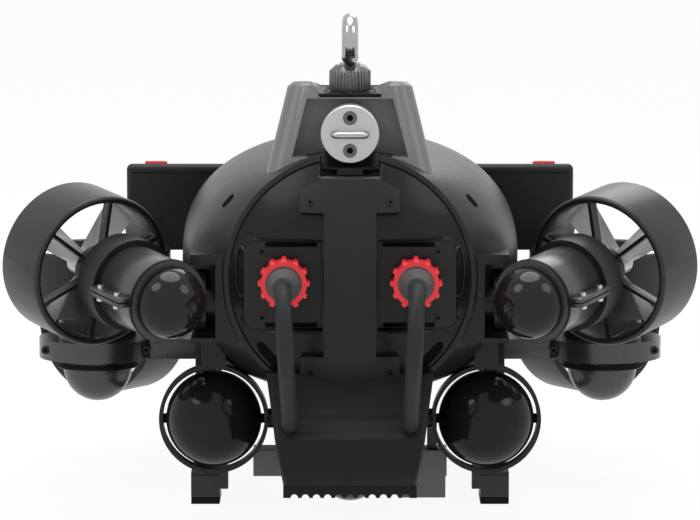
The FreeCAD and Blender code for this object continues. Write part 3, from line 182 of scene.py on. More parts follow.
class CraftCamera(bpy.types.PropertyGroup):
    """Where the camera stands."""

    distance: bpy.props.FloatProperty(
        name="Distance", description="Camera to aim point", default=3.14, unit="LENGTH")
    elevation: bpy.props.FloatProperty(
        name="Elevation", description="Height of the camera as an angle",
        default=math.radians(7), subtype="ANGLE")
    lens: bpy.props.FloatProperty(
        name="Lens", description="Focal length in millimetres", default=200.0)
    aim_height: bpy.props.FloatProperty(
        name="Aim Height", description="Height of the aim point", default=0.217, unit="LENGTH")
    aim_astern: bpy.props.FloatProperty(
        name="Aim Astern", description="Aim point's distance astern", default=0.165, unit="LENGTH")


# ---------------------------------------------------------------- node trees

class Number:
    """A number socket that Python's operators add Math nodes to."""

    def __init__(self, graph, socket):
        self.graph, self.socket = graph, socket

    def combine(self, operation, first, second):
        made = self.graph.node("ShaderNodeMath", {"operation": operation}, {0: first, 1: second})
        return Number(self.graph, made.outputs[0])

    def __add__(self, other):
        return self.combine("ADD", self, other)

    def __sub__(self, other):
        return self.combine("SUBTRACT", self, other)

    def __rsub__(self, other):
        return self.combine("SUBTRACT", other, self)

    def __mul__(self, other):
        return self.combine("MULTIPLY", self, other)

    __radd__, __rmul__ = __add__, __mul__


class Graph:
    """Adds nodes to a tree, settings first and then the values or links of the sockets."""

    def __init__(self, tree):
        self.tree = tree

    def node(self, kind, settings=None, inputs=None):
        made = self.tree.nodes.new(kind)
        for name, value in (settings or {}).items():
            setattr(made, name, value)
        for key, value in (inputs or {}).items():
            self.feed(made.inputs[key], value)
        return made

    def feed(self, socket, value):
        value = value.socket if isinstance(value, Number) else value
        if isinstance(value, bpy.types.NodeSocket):
            self.tree.links.new(value, socket)
        else:
            socket.default_value = value


def new_surface(name):
    material = bpy.data.materials.new(name)
    material.use_nodes = True
    material.node_tree.nodes.clear()
    return material, Graph(material.node_tree)


def finish_surface(graph, shader):
    graph.node("ShaderNodeOutputMaterial", None, {"Surface": shader})


def noise(graph, place, scale, detail=3.0):
    made = graph.node("ShaderNodeTexNoise", None, {"Vector": place, "Scale": scale, "Detail": detail})
    return Number(graph, made.outputs[0])


def clipped(graph, value, low, high):
    """0 below low, 1 above high, and even in between."""
    made = graph.node("ShaderNodeMapRange", {"clamp": True},
                      {"Value": value, "From Min": low, "From Max": high, "To Min": 0.0, "To Max": 1.0})
    return Number(graph, made.outputs[0])


def mixed_colour(graph, share, first, second):
    made = graph.node("ShaderNodeMix", {"data_type": "RGBA"}, {0: share, 6: first, 7: second})
    return made.outputs[2]


def worked_surface(name, colour, finish, dust, stretch=(1, 1, 1)):
    """Moulded, anodised or turned surface with grain, smudges and a few dried marks."""
    tone, rough, metal, coat, gloss, grain_scale, grain_depth, smudging = finish
    colour = [min(1.0, channel * tone) for channel in colour]
    material, graph = new_surface(name)
    place = graph.node("ShaderNodeTexCoord").outputs["Object"]
    along = graph.node("ShaderNodeMapping", None, {"Vector": place, "Scale": stretch}).outputs[0]
    grain = noise(graph, along, grain_scale, 2.0)
    smudge = noise(graph, place, 22.0, 5.0)
    marks = clipped(graph, noise(graph, place, 160.0, 4.0), 0.66, 0.80)
    shade = clipped(graph, smudge, 0.35, 0.75)
    base = mixed_colour(graph, shade * 0.55, (*colour, 1), (*[min(1.0, c * 1.22 + 0.002) for c in colour], 1))
    marked = mixed_colour(graph, marks * 0.04, base, (*dust, 1))
    roughness = rough + (smudge - 0.5) * smudging + (grain - 0.5) * 0.06 + marks * 0.08
    bump = graph.node("ShaderNodeBump", None, {"Height": grain, "Strength": 0.55, "Distance": grain_depth})
    shader = graph.node("ShaderNodeBsdfPrincipled", None, {
        "Base Color": marked, "Roughness": roughness, "Metallic": metal, "Coat Weight": coat,
        "Coat Roughness": 0.12, "Specular IOR Level": gloss,
        "Normal": bump.outputs[0]})
    finish_surface(graph, shader.outputs[0])
    return material


def clear_surface(name, tint):
    """Clear port: polished, with faint smears."""
    material, graph = new_surface(name)
    place = graph.node("ShaderNodeTexCoord").outputs["Object"]
    smear = clipped(graph, noise(graph, place, 30.0, 4.0), 0.5, 0.8)
    shader = graph.node("ShaderNodeBsdfPrincipled", None, {
        "Base Color": (*tint, 1), "Roughness": smear * 0.05 + 0.02, "Transmission Weight": 1.0, "IOR": 1.49})
    finish_surface(graph, shader.outputs[0])
    return material


SURFACES = {}


def surface(slot):
    """The finish of a material slot of the record or of a fastener, made once."""
    if slot not in SURFACES and slot not in COLOURS:
        return fastener_surface(slot)
    if slot not in SURFACES:
        dust = tuple(bpy.context.scene.craft_colours.dust)
        if slot == "lens":
            SURFACES[slot] = clear_surface("clear_port", COLOURS[slot])
        else:
            stretch = (1, 1, 0.06) if slot == "steel" else (1, 1, 1)
            SURFACES[slot] = worked_surface(f"{slot}_finish", COLOURS[slot], FINISHES[slot], dust, stretch)
    return SURFACES[slot]


def fastener_surface(plating):
    """Finish of a screw: bright, worn or black; or near-black painted shade for the socket in its head and for
    other hollows.
    """
    if plating not in SURFACES:
        colours = bpy.context.scene.craft_colours
        if plating == "hollow":
            # painted shade: a near-black colour that stands for the dark inside a hollow
            colour, finish = (0.003, 0.003, 0.003), FINISHES["hollow"]
        else:
            colour, finish = tuple(getattr(colours, f"{plating}_screw")), (1.0, *FINISHES["steel"][1:])
        if plating == "black":
            finish = (1.0, *FINISHES["arm"][1:])
        SURFACES[plating] = worked_surface(f"{plating}_screw", colour, finish, tuple(colours.dust))
    return SURFACES[plating]


# ---------------------------------------------------------------- geometry trees

def new_tree(name, sizes, materials=("Material",)):
    """Geometry tree with named inputs: a start geometry, sizes and materials."""
    tree = bpy.data.node_groups.new(name, "GeometryNodeTree")
    tree.interface.new_socket("Geometry", in_out="INPUT", socket_type="NodeSocketGeometry")
    for label, kind in sizes:
        tree.interface.new_socket(label, in_out="INPUT", socket_type=kind)
    for label in materials:
        tree.interface.new_socket(label, in_out="INPUT", socket_type="NodeSocketMaterial")
    tree.interface.new_socket("Geometry", in_out="OUTPUT", socket_type="NodeSocketGeometry")
    graph = Graph(tree)
    return tree, graph, graph.node("NodeGroupInput").outputs


def closed_tree(graph, branches):
    """Realizes and paints each branch, and joins them as the tree's result."""
    join = graph.node("GeometryNodeJoinGeometry")
    for geometry, material in branches:
        real = graph.node("GeometryNodeRealizeInstances", None, {0: geometry}).outputs[0]
        painted = graph.node("GeometryNodeSetMaterial", None, {"Geometry": real, "Material": material})
        graph.tree.links.new(painted.outputs[0], join.inputs[0])
    graph.node("NodeGroupOutput", None, {0: join.outputs[0]})


def screw_tree():
    """Socket-headed screws, one on each point and facing along the point's aim."""
    sizes = [("Head Radius", "NodeSocketFloat"), ("Head Height", "NodeSocketFloat"),
             ("Socket Radius", "NodeSocketFloat")]
    tree, graph, given = new_tree("socket_screws", sizes, ("Head", "Hollow"))
    aim = graph.node("GeometryNodeInputNamedAttribute", {"data_type": "FLOAT_VECTOR"},
                     {"Name": "aim"}).outputs[0]
    turn = graph.node("FunctionNodeAlignRotationToVector", {"axis": "Z"}, {"Vector": aim}).outputs[0]
    head = graph.node("GeometryNodeMeshCylinder", None, {
        "Vertices": 32, "Radius": given["Head Radius"], "Depth": given["Head Height"]}).outputs[0]
    # black hexagon through the head: painted shade of its socket
    hollow = graph.node("GeometryNodeMeshCylinder", None, {
        "Vertices": 6, "Radius": given["Socket Radius"],
        "Depth": Number(graph, given["Head Height"]) + 0.0002}).outputs[0]
    branches = []
    for shape, material in ((head, given["Head"]), (hollow, given["Hollow"])):
        placed = graph.node("GeometryNodeInstanceOnPoints", None, {
            "Points": given["Geometry"], "Instance": shape, "Rotation": turn}).outputs[0]
        branches.append((placed, material))
    closed_tree(graph, branches)
    return tree


def band_tree():
    """Ribs at even steps round a circle, square to its radius."""
    sizes = [("Band Radius", "NodeSocketFloat"), ("Rib Count", "NodeSocketInt"),
             ("Rib Size", "NodeSocketVector")]
    tree, graph, given = new_tree("ribbed_band", sizes)
    circle = graph.node("GeometryNodeMeshCircle", None, {
        "Vertices": given["Rib Count"], "Radius": given["Band Radius"]}).outputs[0]
    spoke = graph.node("GeometryNodeInputPosition").outputs[0]
    turn = graph.node("FunctionNodeAlignRotationToVector", {"axis": "X"}, {"Vector": spoke}).outputs[0]
    rib = graph.node("GeometryNodeMeshCube", None, {"Size": given["Rib Size"]}).outputs[0]
    ribs = graph.node("GeometryNodeInstanceOnPoints", None, {
        "Points": circle, "Instance": rib, "Rotation": turn}).outputs[0]
    closed_tree(graph, [(ribs, given["Material"])])
    return tree


def lip_tree():
    """Rolled lip: a round section swept round a circle."""
    sizes = [("Lip Radius", "NodeSocketFloat"), ("Roll Radius", "NodeSocketFloat")]
    tree, graph, given = new_tree("rolled_lip", sizes)
    path = graph.node("GeometryNodeCurvePrimitiveCircle", None, {
        "Resolution": 128, "Radius": given["Lip Radius"]}).outputs[0]
    section = graph.node("GeometryNodeCurvePrimitiveCircle", None, {
        "Resolution": 16, "Radius": given["Roll Radius"]}).outputs[0]
    swept = graph.node("GeometryNodeCurveToMesh", None, {"Curve": path, "Profile Curve": section}).outputs[0]
    smooth = graph.node("GeometryNodeSetShadeSmooth", None, {0: swept}).outputs[0]
    closed_tree(graph, [(smooth, given["Material"])])
    return tree


TREES = {}


def grown(tree_name, maker, start, values):
    """Plain mesh of a geometry tree run on the start mesh with the named values."""
    if tree_name not in TREES:
        TREES[tree_name] = maker()
    tree = TREES[tree_name]
    carrier = bpy.data.objects.new("carrier", start)
    bpy.context.scene.collection.objects.link(carrier)
    modifier = carrier.modifiers.new(tree_name, "NODES")
    modifier.node_group = tree
    for item in tree.interface.items_tree:
        if item.in_out == "INPUT" and item.name in values:
            modifier[item.identifier] = values[item.name]
    carrier.update_tag()
    bpy.context.view_layer.update()
    mesh = bpy.data.meshes.new_from_object(carrier.evaluated_get(bpy.context.evaluated_depsgraph_get()))
    carrier.modifiers.remove(modifier)
    bpy.data.objects.remove(carrier)
    if not mesh.polygons:
        raise RuntimeError(f"{tree_name} made nothing")
    return mesh


# ---------------------------------------------------------------- placing

def settle(name, mesh, body):
    """Object at the origin that rides on a body."""
    piece = bpy.data.objects.new(name, mesh)
    bpy.context.scene.collection.objects.link(piece)
    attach(piece, body)
    return piece


def struck(node, start, direction):
    """Where a ray meets a node of the frame, and the way that its surface faces there."""
    mesh = NODES[node].data
    tree = BVHTree.FromPolygons([v.co for v in mesh.vertices], [tuple(p.vertices) for p in mesh.polygons])
    place, normal, _, _ = tree.ray_cast(Vector(start), Vector(direction))
    if place is None:
        raise RuntimeError(f"no surface of {node} ahead of {tuple(start)}")
    return place, normal if normal.dot(Vector(direction)) < 0 else -normal


def screws(name, spots, radius, body, plating="black", height=0.0016):
    """Screws on (place, aim) pairs as one piece."""
    start = bpy.data.meshes.new(f"{name}_points")
    start.from_pydata([place for place, _ in spots], [], [])
    aims = start.attributes.new("aim", "FLOAT_VECTOR", "POINT")
    for item, (_, aim) in zip(aims.data, spots):
        item.vector = aim
    mesh = grown("socket_screws", screw_tree, start, {
        "Head Radius": radius, "Head Height": height, "Socket Radius": radius * 0.5,
        "Head": fastener_surface(plating), "Hollow": fastener_surface("hollow")})
    return settle(name, mesh, body)


def thruster(kind, side):
    """Middle of a thruster's duct and the way from it to the pod."""
    joint = JOINTS[f"propeller_{kind}_{side}_spin"]
    return Vector(joint["pos_m"]), Vector(joint["axis"]).normalized()


def stand_on(axis, place):
    """Transform that lays local +Z along an axis at a place."""
    return Matrix.Translation(place) @ axis.to_track_quat("Z", "Y").to_matrix().to_4x4()


def reach_along(node, place, axis):
    """Nearest and farthest distance of a node's surface along an axis."""
    spans = [(vertex.co - place).dot(axis) for vertex in NODES[node].data.vertices]
    return min(spans), max(spans)


def reach_across(node, place, axis):
    """Largest distance of a node's surface from an axis."""
    return max(((vertex.co - place) - axis * (vertex.co - place).dot(axis)).length
               for vertex in NODES[node].data.vertices)


def ring_mesh(inner, outer, length):
    """Ring about local Z, centred on its length, with chamfered ends."""
    chamfer = (outer - inner) * 0.3
    section = [(inner, -length / 2), (outer - chamfer, -length / 2), (outer, -length / 2 + chamfer),
               (outer, length / 2 - chamfer), (outer - chamfer, length / 2), (inner, length / 2)]
    steps, points, faces = 72, [], []
    for step in range(steps):
        angle = 2 * math.pi * step / steps
        points += [(r * math.cos(angle), r * math.sin(angle), z) for r, z in section]
    count = len(section)
    for step in range(steps):
        here, there = step * count, (step + 1) % steps * count
        faces += [(here + k, there + k, there + (k + 1) % count, here + (k + 1) % count)
                  for k in range(count)]
    mesh = bpy.data.meshes.new("ring")
    mesh.from_pydata(points, [], faces)
    return mesh


def block_mesh(low, high, edge=0.0006):
    """Block with chamfered edges between two corners."""
    work = bmesh.new()
    bmesh.ops.create_cube(work, size=1.0)
    low, high = Vector(low), Vector(high)
    for vertex in work.verts:
        vertex.co = (low + high) / 2 + Vector([vertex.co[k] * (high - low)[k] for k in range(3)])
    bmesh.ops.bevel(work, geom=work.edges[:], offset=edge, segments=2, affect="EDGES", profile=0.5)
    mesh = bpy.data.meshes.new("block")
    work.to_mesh(mesh)
    work.free()
    return mesh


def tube_mesh(points, radius):
    """Round bar along a smooth closed line through the points."""
    line = bpy.data.curves.new("line", "CURVE")
    line.dimensions, line.bevel_depth, line.bevel_resolution = "3D", radius, 4
    spline = line.splines.new("NURBS")
    spline.points.add(len(points) - 1)
    for item, place in zip(spline.points, points):
        item.co = (*place, 1)
    spline.use_cyclic_u, spline.order_u = True, 3
    carrier = bpy.data.objects.new("line", line)
    bpy.context.scene.collection.objects.link(carrier)
    bpy.context.view_layer.update()
    mesh = bpy.data.meshes.new_from_object(carrier.evaluated_get(bpy.context.evaluated_depsgraph_get()))
    bpy.data.objects.remove(carrier)
    return mesh


def joined(meshes):
    """One mesh of several, each with its faces outwards."""
    work = bmesh.new()
    for mesh in meshes:
        outward(mesh)
        work.from_mesh(mesh)
    whole = bpy.data.meshes.new("joined")
    work.to_mesh(whole)
    work.free()
    return whole


def outward(mesh):
    """Merges doubles and turns every face outwards."""
    work = bmesh.new()
    work.from_mesh(mesh)
    bmesh.ops.remove_doubles(work, verts=work.verts, dist=0.000001)
    bmesh.ops.recalc_face_normals(work, faces=work.faces)
    work.to_mesh(mesh)
    work.free()


def laid_strip(node, line, half_width):
    """Shallow crowned strip on a node's surface, along a line of (x, z) places seen from astern."""
    proud, sunk, depth = 0.0005, 0.0002, 0.0008
    rows = []
    for index, spot in enumerate(line):
        ahead = line[min(index + 1, len(line) - 1)] - line[max(index - 1, 0)]
        cross = Vector((-ahead.y, ahead.x)).normalized()
        taper = math.sqrt(max(0.15, 1 - (2 * index / (len(line) - 1) - 1) ** 6))
        row = []
        for share in (-1.0, -0.8, 0.0, 0.8, 1.0):
            x, z = spot + cross * half_width * taper * share
            place, aim = struck(node, (x, ASTERN, z), AHEAD)
            row.append(place + aim * (proud if abs(share) < 0.9 else -sunk))
        rows.append(row)
    wide = len(rows[0])
    top = [place for row in rows for place in row]
    below = [place + AHEAD * depth for place in top]
    count, faces = len(top), []
    for index in range(len(rows) - 1):
        for column in range(wide - 1):
            corner = index * wide + column
            square = (corner, corner + 1, corner + wide + 1, corner + wide)
            faces += [square, tuple(count + item for item in reversed(square))]
    rim = [*range(wide), *range(2 * wide - 1, count, wide), *reversed(range(count - wide, count - 1)),
           *reversed(range(wide, count - wide, wide))]
    faces += [(here, there, there + count, here + count) for here, there in zip(rim, rim[1:] + rim[:1])]
    mesh = bpy.data.meshes.new("strip")
    mesh.from_pydata(top + below, [], faces)
    return mesh


def painted(mesh, finish):
    """The mesh with its faces outwards, shaded smooth, in a finish."""
    outward(mesh)
    mesh.materials.clear()
    mesh.materials.append(surface(finish))
    mesh.polygons.foreach_set("use_smooth", [True] * len(mesh.polygons))
    mesh.set_sharp_from_angle(angle=SHADE_ANGLE)
    return mesh


# ---------------------------------------------------------------- operators

class CRAFT_OT_shells(bpy.types.Operator):
    """Gives every piece of the frame a smooth skin and its own finish"""

    bl_idname = "craft.shells"
    bl_label = "Finish Shells"

    def execute(self, context):
        sizes = context.scene.craft_sizes
        same_place, flat = 0.000002, math.radians(0.4)
        for node, source in NODES.items():
            mesh = source.data.copy()
            work = bmesh.new()
            work.from_mesh(mesh)
            bmesh.ops.remove_doubles(work, verts=work.verts, dist=same_place)
            bmesh.ops.dissolve_limit(work, angle_limit=flat, verts=work.verts, edges=work.edges)
            work.to_mesh(mesh)
            work.free()
            mesh.materials.clear()
            mesh.materials.append(surface(LOOKS.get(node, SLOT_OF[node])))
            self.second_finish(node, mesh)
            mesh.polygons.foreach_set("use_smooth", [True] * len(mesh.polygons))
            mesh.set_sharp_from_angle(angle=sizes.smooth_angle)
            skin = settle(f"{node}_skin", mesh, BODY_OF[node])
            if node in BEVELLED:
                bevel = skin.modifiers.new("edge_break", "BEVEL")
                bevel.width = sizes.edge_break
                bevel.segments = 2
                bevel.limit_method = "ANGLE"
                bevel.angle_limit = sizes.bevel_angle
                bevel.harden_normals = True
            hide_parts(node)
        return {"FINISHED"}

    def second_finish(self, node, mesh):
        """Paints the lower domes like their pods, and the end faces of the ducts dark."""
        for kind, side in THRUSTERS:
            place, axis = thruster(kind, side)
            if node == "pod_domes" and kind == "vertical":
                reach = reach_across(f"motor_pod_{kind}_{side}", place, axis) * 1.2
                self.repaint(mesh, "pod", [
                    face for face in mesh.polygons
                    if abs(face.center.x - place.x) < reach and abs(face.center.y - place.y) < reach])
            elif node == f"duct_{kind}_{side}":
                near, far = reach_along(node, place, axis)
                rim, squareness = 0.0025, 0.9
                self.repaint(mesh, "dark", [
                    face for face in mesh.polygons if abs(face.normal.dot(axis)) > squareness
                    and not near + rim < (face.center - place).dot(axis) < far - rim])

    def repaint(self, mesh, finish, faces):
        """Gives some faces of a skin its second finish."""
        if len(mesh.materials) == 1:
            mesh.materials.append(surface(finish))
        for face in faces:
            face.material_index = 1


class CRAFT_OT_fasteners(bpy.types.Operator):
    """Sets the screws of the covers, the tether disc and the nose bezel"""

    bl_idname = "craft.fasteners"
    bl_label = "Set Fasteners"

    def execute(self, context):
        sizes = context.scene.craft_sizes
        for name, cover, side_inset, end_inset in (("strip_screws", "tail_strip", 0.008, 0.018),
                                                   ("panel_screws", "connector_panels", 0.0145, 0.008)):
            low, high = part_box(cover)
            spots = [struck(cover, (side * (high[0] - side_inset), ASTERN, level), AHEAD)
                     for side in SIDES.values() for level in (high[2] - end_inset, low[2] + end_inset)]
            # black heads, also painted shade of the countersunk holes that they sit in
            screws(name, spots, sizes.cover_screw, ROOT)
        low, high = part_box("tether_disc")
        middle, offset = (low[2] + high[2]) / 2, (high[2] - low[2]) * 0.28
        spots = [struck("tether_disc", (0, ASTERN, middle + sign * offset), AHEAD) for sign in (-1, 1)]
        screws("disc_screws", spots, sizes.disc_screw, ROOT, "worn", height=0.0022)
        self.screw_bezel(sizes)
        return {"FINISHED"}

    def screw_bezel(self, sizes):
        """Sets an even ring of screws in the forward face of the nose bezel."""
        low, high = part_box("nose_bezel")
        centre = (Vector(low) + Vector(high)) / 2
        edge_inset, clear = 0.008, 0.1
        ring = (high[0] - low[0]) / 2 - edge_inset
        spots = []
        for step in range(sizes.bezel_screws):
            angle = 2 * math.pi * (step + 0.5) / sizes.bezel_screws
            start = centre + Vector((ring * math.cos(angle), clear, ring * math.sin(angle)))
            spots.append(struck("nose_bezel", start, -AHEAD))
        screws("bezel_screws", spots, sizes.bezel_screw, ROOT)


class CRAFT_OT_pods(bpy.types.Operator):
    """Ribs the end of each motor pod and rolls a lip on each duct"""

    bl_idname = "craft.pods"
    bl_label = "Dress Thrusters"

    def execute(self, context):
        sizes = context.scene.craft_sizes
        for kind, side in THRUSTERS:
            place, axis = thruster(kind, side)
            name = f"{kind}_{side}"
            settle(f"pod_band_{name}", self.band(sizes, f"motor_pod_{name}", place, axis), ROOT)
            settle(f"duct_lip_{name}", self.lips(sizes, f"duct_{name}", place, axis), ROOT)
        return {"FINISHED"}

    def band(self, sizes, pod, place, axis):
        """Black sleeve with fine ribs round the end of a pod."""
        _, end = reach_along(pod, place, axis)
        radius = reach_across(pod, place, axis)
        length, seat, sunk = 0.0046, 0.62, 0.001
        rib_width = math.pi * radius / sizes.band_ribs
        ribs = grown("ribbed_band", band_tree, bpy.data.meshes.new("start"), {
            "Band Radius": radius, "Rib Count": sizes.band_ribs,
            "Rib Size": (sizes.rib_proud * 2, rib_width, length), "Material": surface("pad")})
        mesh = joined([ribs, ring_mesh(radius - sunk, radius + sizes.rib_proud / 2, length)])
        mesh.transform(stand_on(axis, place + axis * (end - length * seat)))
        mesh.materials.append(surface("pad"))
        return mesh

    def lips(self, sizes, duct, place, axis):
        """Rolled lip at each end of a duct."""
        near, far = reach_along(duct, place, axis)
        edge_inset = 0.0006
        radius = reach_across(duct, place, axis) - sizes.lip_tube - edge_inset
        rolls = []
        for level in (near + sizes.lip_tube, far - sizes.lip_tube):
            roll = grown("rolled_lip", lip_tree, bpy.data.meshes.new("start"), {
                "Lip Radius": radius, "Roll Radius": sizes.lip_tube, "Material": surface("dark")})
            roll.transform(stand_on(axis, place + axis * level))
            rolls.append(roll)
        return painted(joined(rolls), "dark")


class CRAFT_OT_clamps(bpy.types.Operator):
    """Fits the split clamps of the rear motor pods and the screws of the yokes"""

    bl_idname = "craft.clamps"
    bl_label = "Fit Clamps"

    def execute(self, context):
        sizes = context.scene.craft_sizes
        start_share, dome_seat, sunk, half_gap = 0.60, 0.0075, 0.003, 0.0004
        bolt_shares, bolt_scale, bolt_height = (0.22, 0.78), 0.75, 0.0056
        for side in SIDES:
            place, axis = thruster("rear", side)
            pod = f"motor_pod_rear_{side}"
            _, end = reach_along(pod, place, axis)
            radius = reach_across(pod, place, axis)
            level = Vector((0, 0, 1)).cross(axis).normalized()
            up = axis.cross(level)
            first, last = end * start_share, end - dome_seat
            plates, spots = [], []
            for sign in (-1, 1):
                turn = Matrix((level * sign, axis, up)).transposed().to_4x4()
                for half in (-1, 1):
                    near, far = sorted((half * half_gap, half * sizes.flange_thickness))
                    plate = block_mesh((radius - sunk, first, near),
                                       (radius + sizes.flange_reach, last, far))
                    plate.transform(Matrix.Translation(place) @ turn)
                    plates.append(plate)
                for share in bolt_shares:
                    middle = place + axis * (first + share * (last - first))
                    middle = middle + level * sign * (radius + sizes.flange_reach * 0.5)
                    spots += [(middle + up * half * sizes.flange_thickness, up * half) for half in (-1, 1)]
            settle(f"pod_clamp_{side}", painted(joined(plates), "pod"), ROOT)
            screws(f"pod_clamp_screws_{side}", spots, sizes.clamp_screw * bolt_scale, ROOT, "bright",
                   bolt_height)
            self.screw_yoke(side, sizes.clamp_screw)
        return {"FINISHED"}

    def screw_yoke(self, side, head):
        """Covers the two holes in the astern side of a yoke with black screw heads, whose black also stands for
        painted shade in the holes.
        """
        place, _ = thruster("vertical", side)
        low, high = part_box(f"yoke_{side}")
        level = (low[2] + high[2]) / 2
        beside, rim_share, sunk, height = 0.0045, 0.86, 0.0006, 0.003
        offset = (abs(high[0] if place.x > 0 else low[0]) - abs(place.x)) * rim_share
        spots = []
        for sign in (-1, 1):
            x = place.x + sign * offset
            found, _ = struck(f"yoke_{side}", (x, ASTERN, level + beside), AHEAD)
            spots.append((Vector((x, found.y - sunk, level)), -AHEAD))
        screws(f"yoke_screws_{side}", spots, head, ROOT, "black", height)


class CRAFT_OT_fittings(bpy.types.Operator):
    """Adds the cap's loops, the lid seams, and near-black strips of painted shade for the cap's groove, the
    panels' recesses and the hull's slits
    """

    bl_idname = "craft.fittings"
    bl_label = "Add Fittings"

    def execute(self, context):
        for side, sign in SIDES.items():
            settle(f"cap_loop_{side}", painted(self.loop(sign), "dark"), ROOT)
            # the near-black pieces below are painted shade of recesses, slits and the cap's groove
            settle(f"panel_gasket_{side}", painted(self.gasket(sign), "hollow"), ROOT)
            settle(f"hull_slit_{side}", painted(self.slit(sign), "hollow"), ROOT)
            settle(f"cap_pocket_{side}", painted(self.pocket(sign), "hollow"), ROOT)
            settle(f"lid_seam_{side}", painted(self.lid_seam(side, sign), "pad"), ROOT)
        return {"FINISHED"}

    def loop(self, sign):
        """Thin upright loop laid on the side of the tail cap."""
        low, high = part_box("tail_cap")
        radius, centre_z = (high[0] - low[0]) / 2, (low[2] + high[2]) / 2
        radius_share, half_width, half_height, lift = 0.905, 0.0045, 0.021, 0.008
        steps, wire, proud = 10, 0.0011, 0.0006
        points = []
        for step in range(steps):
            angle = 2 * math.pi * step / steps
            across = sign * (radius * radius_share + half_width * math.cos(angle))
            up = centre_z + lift + half_height * math.sin(angle)
            place, aim = struck("tail_cap", (across, ASTERN, up), AHEAD)
            points.append(place + aim * proud)
        return tube_mesh(points, wire)

    def gasket(self, sign):
        """Near-black bars along the top and bottom edges of a connector panel: painted shade of the recess round
        the panel.
        """
        low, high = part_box("connector_panels")
        rise, proud = 0.0038, 0.0004
        inner_share, outer_share, edge_share = 0.31, 0.80, 0.6
        near, far = sorted((sign * high[0] * inner_share, sign * high[0] * outer_share))
        bars = []
        for level in (high[2] - rise * edge_share, low[2] + rise * edge_share):
            place, _ = struck("connector_panels", ((near + far) / 2, ASTERN, level), AHEAD)
            bars.append(block_mesh((near, place.y - proud, level - rise / 2),
                                   (far, place.y + proud, level + rise / 2), proud / 2))
        return joined(bars)

    def slit(self, sign):
        """Near-black slanted strip on the shoulder of the hull: painted shade of a slit."""
        low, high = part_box("hull_shell")
        across, up = sign * high[0] * 0.70, low[2] + (high[2] - low[2]) * 0.80
        half_length, half_width = 0.0066, 0.0013
        reach = Vector((-sign * 0.66, 0.75)) * half_length
        line = [Vector((across, up)) + reach * share for share in (-1, -0.5, 0, 0.5, 1)]
        return laid_strip("hull_shell", line, half_width)

    def pocket(self, sign):
        """Near-black strip that follows the lower edge of the tail cap: painted shade of the groove there."""
        low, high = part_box("tail_cap")
        middle, radius = Vector((0, (low[2] + high[2]) / 2)), (high[0] - low[0]) / 2
        start, sweep, steps, radius_share, half_width = 34, 25, 12, 0.925, 0.0046
        line = []
        for step in range(steps + 1):
            angle = math.radians(start + sweep * step / steps)
            line.append(middle + Vector((sign * math.cos(angle), -math.sin(angle))) * radius * radius_share)
        return laid_strip("tail_cap", line, half_width)

    def lid_seam(self, side, sign):
        """Fine dark seam across the astern face of a battery box, under its lid."""
        low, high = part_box(f"battery_box_{side}")
        inner, outer = sorted((low[0], high[0]), key=abs)
        drop, inner_inset, outer_inset, half_rise = 0.0075, 0.012, 0.004, 0.0005
        proud, sunk, chamfer = 0.00015, 0.001, 0.0001
        level = high[2] - drop
        near, far = sorted((sign * (abs(inner) + inner_inset), sign * (abs(outer) - outer_inset)))
        place, _ = struck(f"battery_box_{side}", ((near + far) / 2, ASTERN, level), AHEAD)
        return block_mesh((near, place.y - proud, level - half_rise),
                          (far, place.y + sunk, level + half_rise), chamfer)


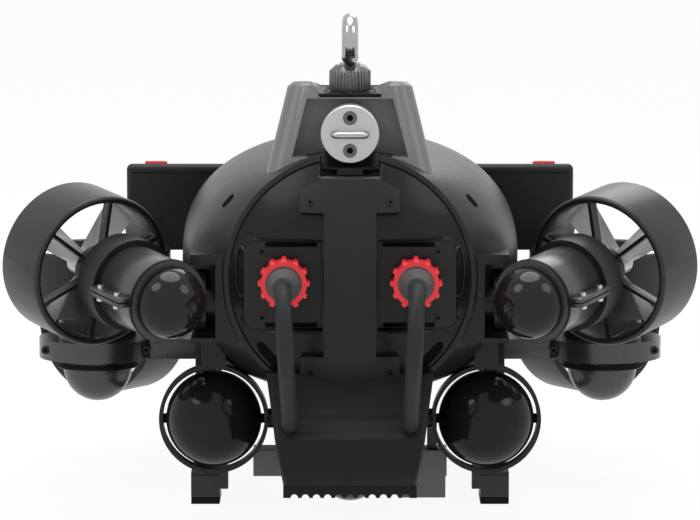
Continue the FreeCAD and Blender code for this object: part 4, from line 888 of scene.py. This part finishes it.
class CRAFT_OT_stage(bpy.types.Operator):
    """Lays the floor and sets the lights and the camera"""

    bl_idname = "craft.stage"
    bl_label = "Set Stage"

    def execute(self, context):
        scene = context.scene
        half, seen_share = 12.0, 0.93
        corners = [(-half, -half, 0), (half, -half, 0), (half, half, 0), (-half, half, 0)]
        mesh = bpy.data.meshes.new("floor")
        mesh.from_pydata(corners, [], [(0, 1, 2, 3)])
        material, graph = new_surface("floor_paint")
        ground = (*scene.craft_colours.ground, 1)
        lit = graph.node("ShaderNodeBsdfDiffuse", None, {"Color": ground}).outputs[0]
        glow = graph.node("ShaderNodeEmission", None, {"Color": (1, 1, 1, 1), "Strength": 1.0}).outputs[0]
        whiter = self.seen_rays(graph) * seen_share
        mixed = graph.node("ShaderNodeMixShader", None, {0: whiter, 1: lit, 2: glow})
        finish_surface(graph, mixed.outputs[0])
        mesh.materials.append(material)
        floor = bpy.data.objects.new("floor", mesh)
        scene.collection.objects.link(floor)
        self.light_world(scene)
        middle = (CAD_BOX[0] + CAD_BOX[1]) / 2
        for name, offset, size, power in (
                ("key", (-1.7, -1.2, 2.1), 1.3, 16), ("fill", (1.9, -1.0, 1.8), 1.3, 12),
                ("top", (0.0, 0.1, 2.3), 1.9, 40), ("bow", (0.6, 2.2, 1.7), 1.5, 12)):
            lamp = bpy.data.lights.new(name, "AREA")
            lamp.shape, lamp.size, lamp.energy = "DISK", size, power
            light = bpy.data.objects.new(name, lamp)
            light.location = middle + Vector(offset)
            light.rotation_euler = (-Vector(offset)).to_track_quat("-Z", "Y").to_euler()
            scene.collection.objects.link(light)
        self.place_camera(scene)
        scene.view_settings.view_transform = "Standard"
        return {"FINISHED"}

    def seen_rays(self, graph):
        """1 for rays of the camera, of mirrors and of glass, and 0 for the light on the craft."""
        path = graph.node("ShaderNodeLightPath").outputs
        share = Number(graph, path["Is Camera Ray"])
        for kind in ("Is Glossy Ray", "Is Transmission Ray"):
            share = share.combine("MAXIMUM", share, path[kind])
        return share

    def light_world(self, scene):
        world = bpy.data.worlds.new("studio")
        world.use_nodes = True
        world.node_tree.nodes.clear()
        graph = Graph(world.node_tree)
        seen = self.seen_rays(graph)
        soft, bright = [
            graph.node("ShaderNodeBackground", None, {"Color": (1, 1, 1, 1), "Strength": level}).outputs[0]
            for level in (0.62, 1.0)]
        both = graph.node("ShaderNodeMixShader", None, {0: seen, 1: soft, 2: bright}).outputs[0]
        graph.node("ShaderNodeOutputWorld", None, {"Surface": both})
        scene.world = world

    def place_camera(self, scene):
        stand = scene.craft_camera
        lens = bpy.data.cameras.new("camera")
        lens.lens, lens.sensor_width = stand.lens, 36.0
        lens.clip_end = 100.0
        camera = bpy.data.objects.new("camera", lens)
        back = Vector((0, -math.cos(stand.elevation), math.sin(stand.elevation)))
        camera.location = Vector((0, -stand.aim_astern, stand.aim_height)) + back * stand.distance
        camera.rotation_euler = (-back).to_track_quat("-Z", "Y").to_euler()
        scene.collection.objects.link(camera)
        scene.camera = camera


OPERATORS = (CRAFT_OT_shells, CRAFT_OT_fasteners, CRAFT_OT_pods, CRAFT_OT_clamps, CRAFT_OT_fittings,
             CRAFT_OT_stage)


class CRAFT_PT_panel(bpy.types.Panel):
    """Lists the craft's operators and sizes"""

    bl_idname = "CRAFT_PT_panel"
    bl_label = "Inspection Craft"
    bl_space_type = "VIEW_3D"
    bl_region_type = "UI"
    bl_category = "Craft"

    def draw(self, context):
        for operator in OPERATORS:
            self.layout.operator(operator.bl_idname)
        for group in (context.scene.craft_sizes, context.scene.craft_colours, context.scene.craft_camera):
            for name in group.bl_rna.properties.keys():
                if name not in ("rna_type", "name"):
                    self.layout.prop(group, name)


GROUPS = {"craft_sizes": CraftSizes, "craft_colours": CraftColours, "craft_camera": CraftCamera}


def register():
    for item in (*GROUPS.values(), *OPERATORS, CRAFT_PT_panel):
        bpy.utils.register_class(item)
    for name, group in GROUPS.items():
        setattr(bpy.types.Scene, name, bpy.props.PointerProperty(type=group))


def unregister():
    for name in GROUPS:
        delattr(bpy.types.Scene, name)
    for item in reversed((*GROUPS.values(), *OPERATORS, CRAFT_PT_panel)):
        bpy.utils.unregister_class(item)


def main():
    register()
    bpy.ops.craft.shells()
    bpy.ops.craft.fasteners()
    bpy.ops.craft.pods()
    bpy.ops.craft.clamps()
    bpy.ops.craft.fittings()
    bpy.ops.craft.stage()
    bpy.context.view_layer.update()


if __name__ == "__main__":
    main()
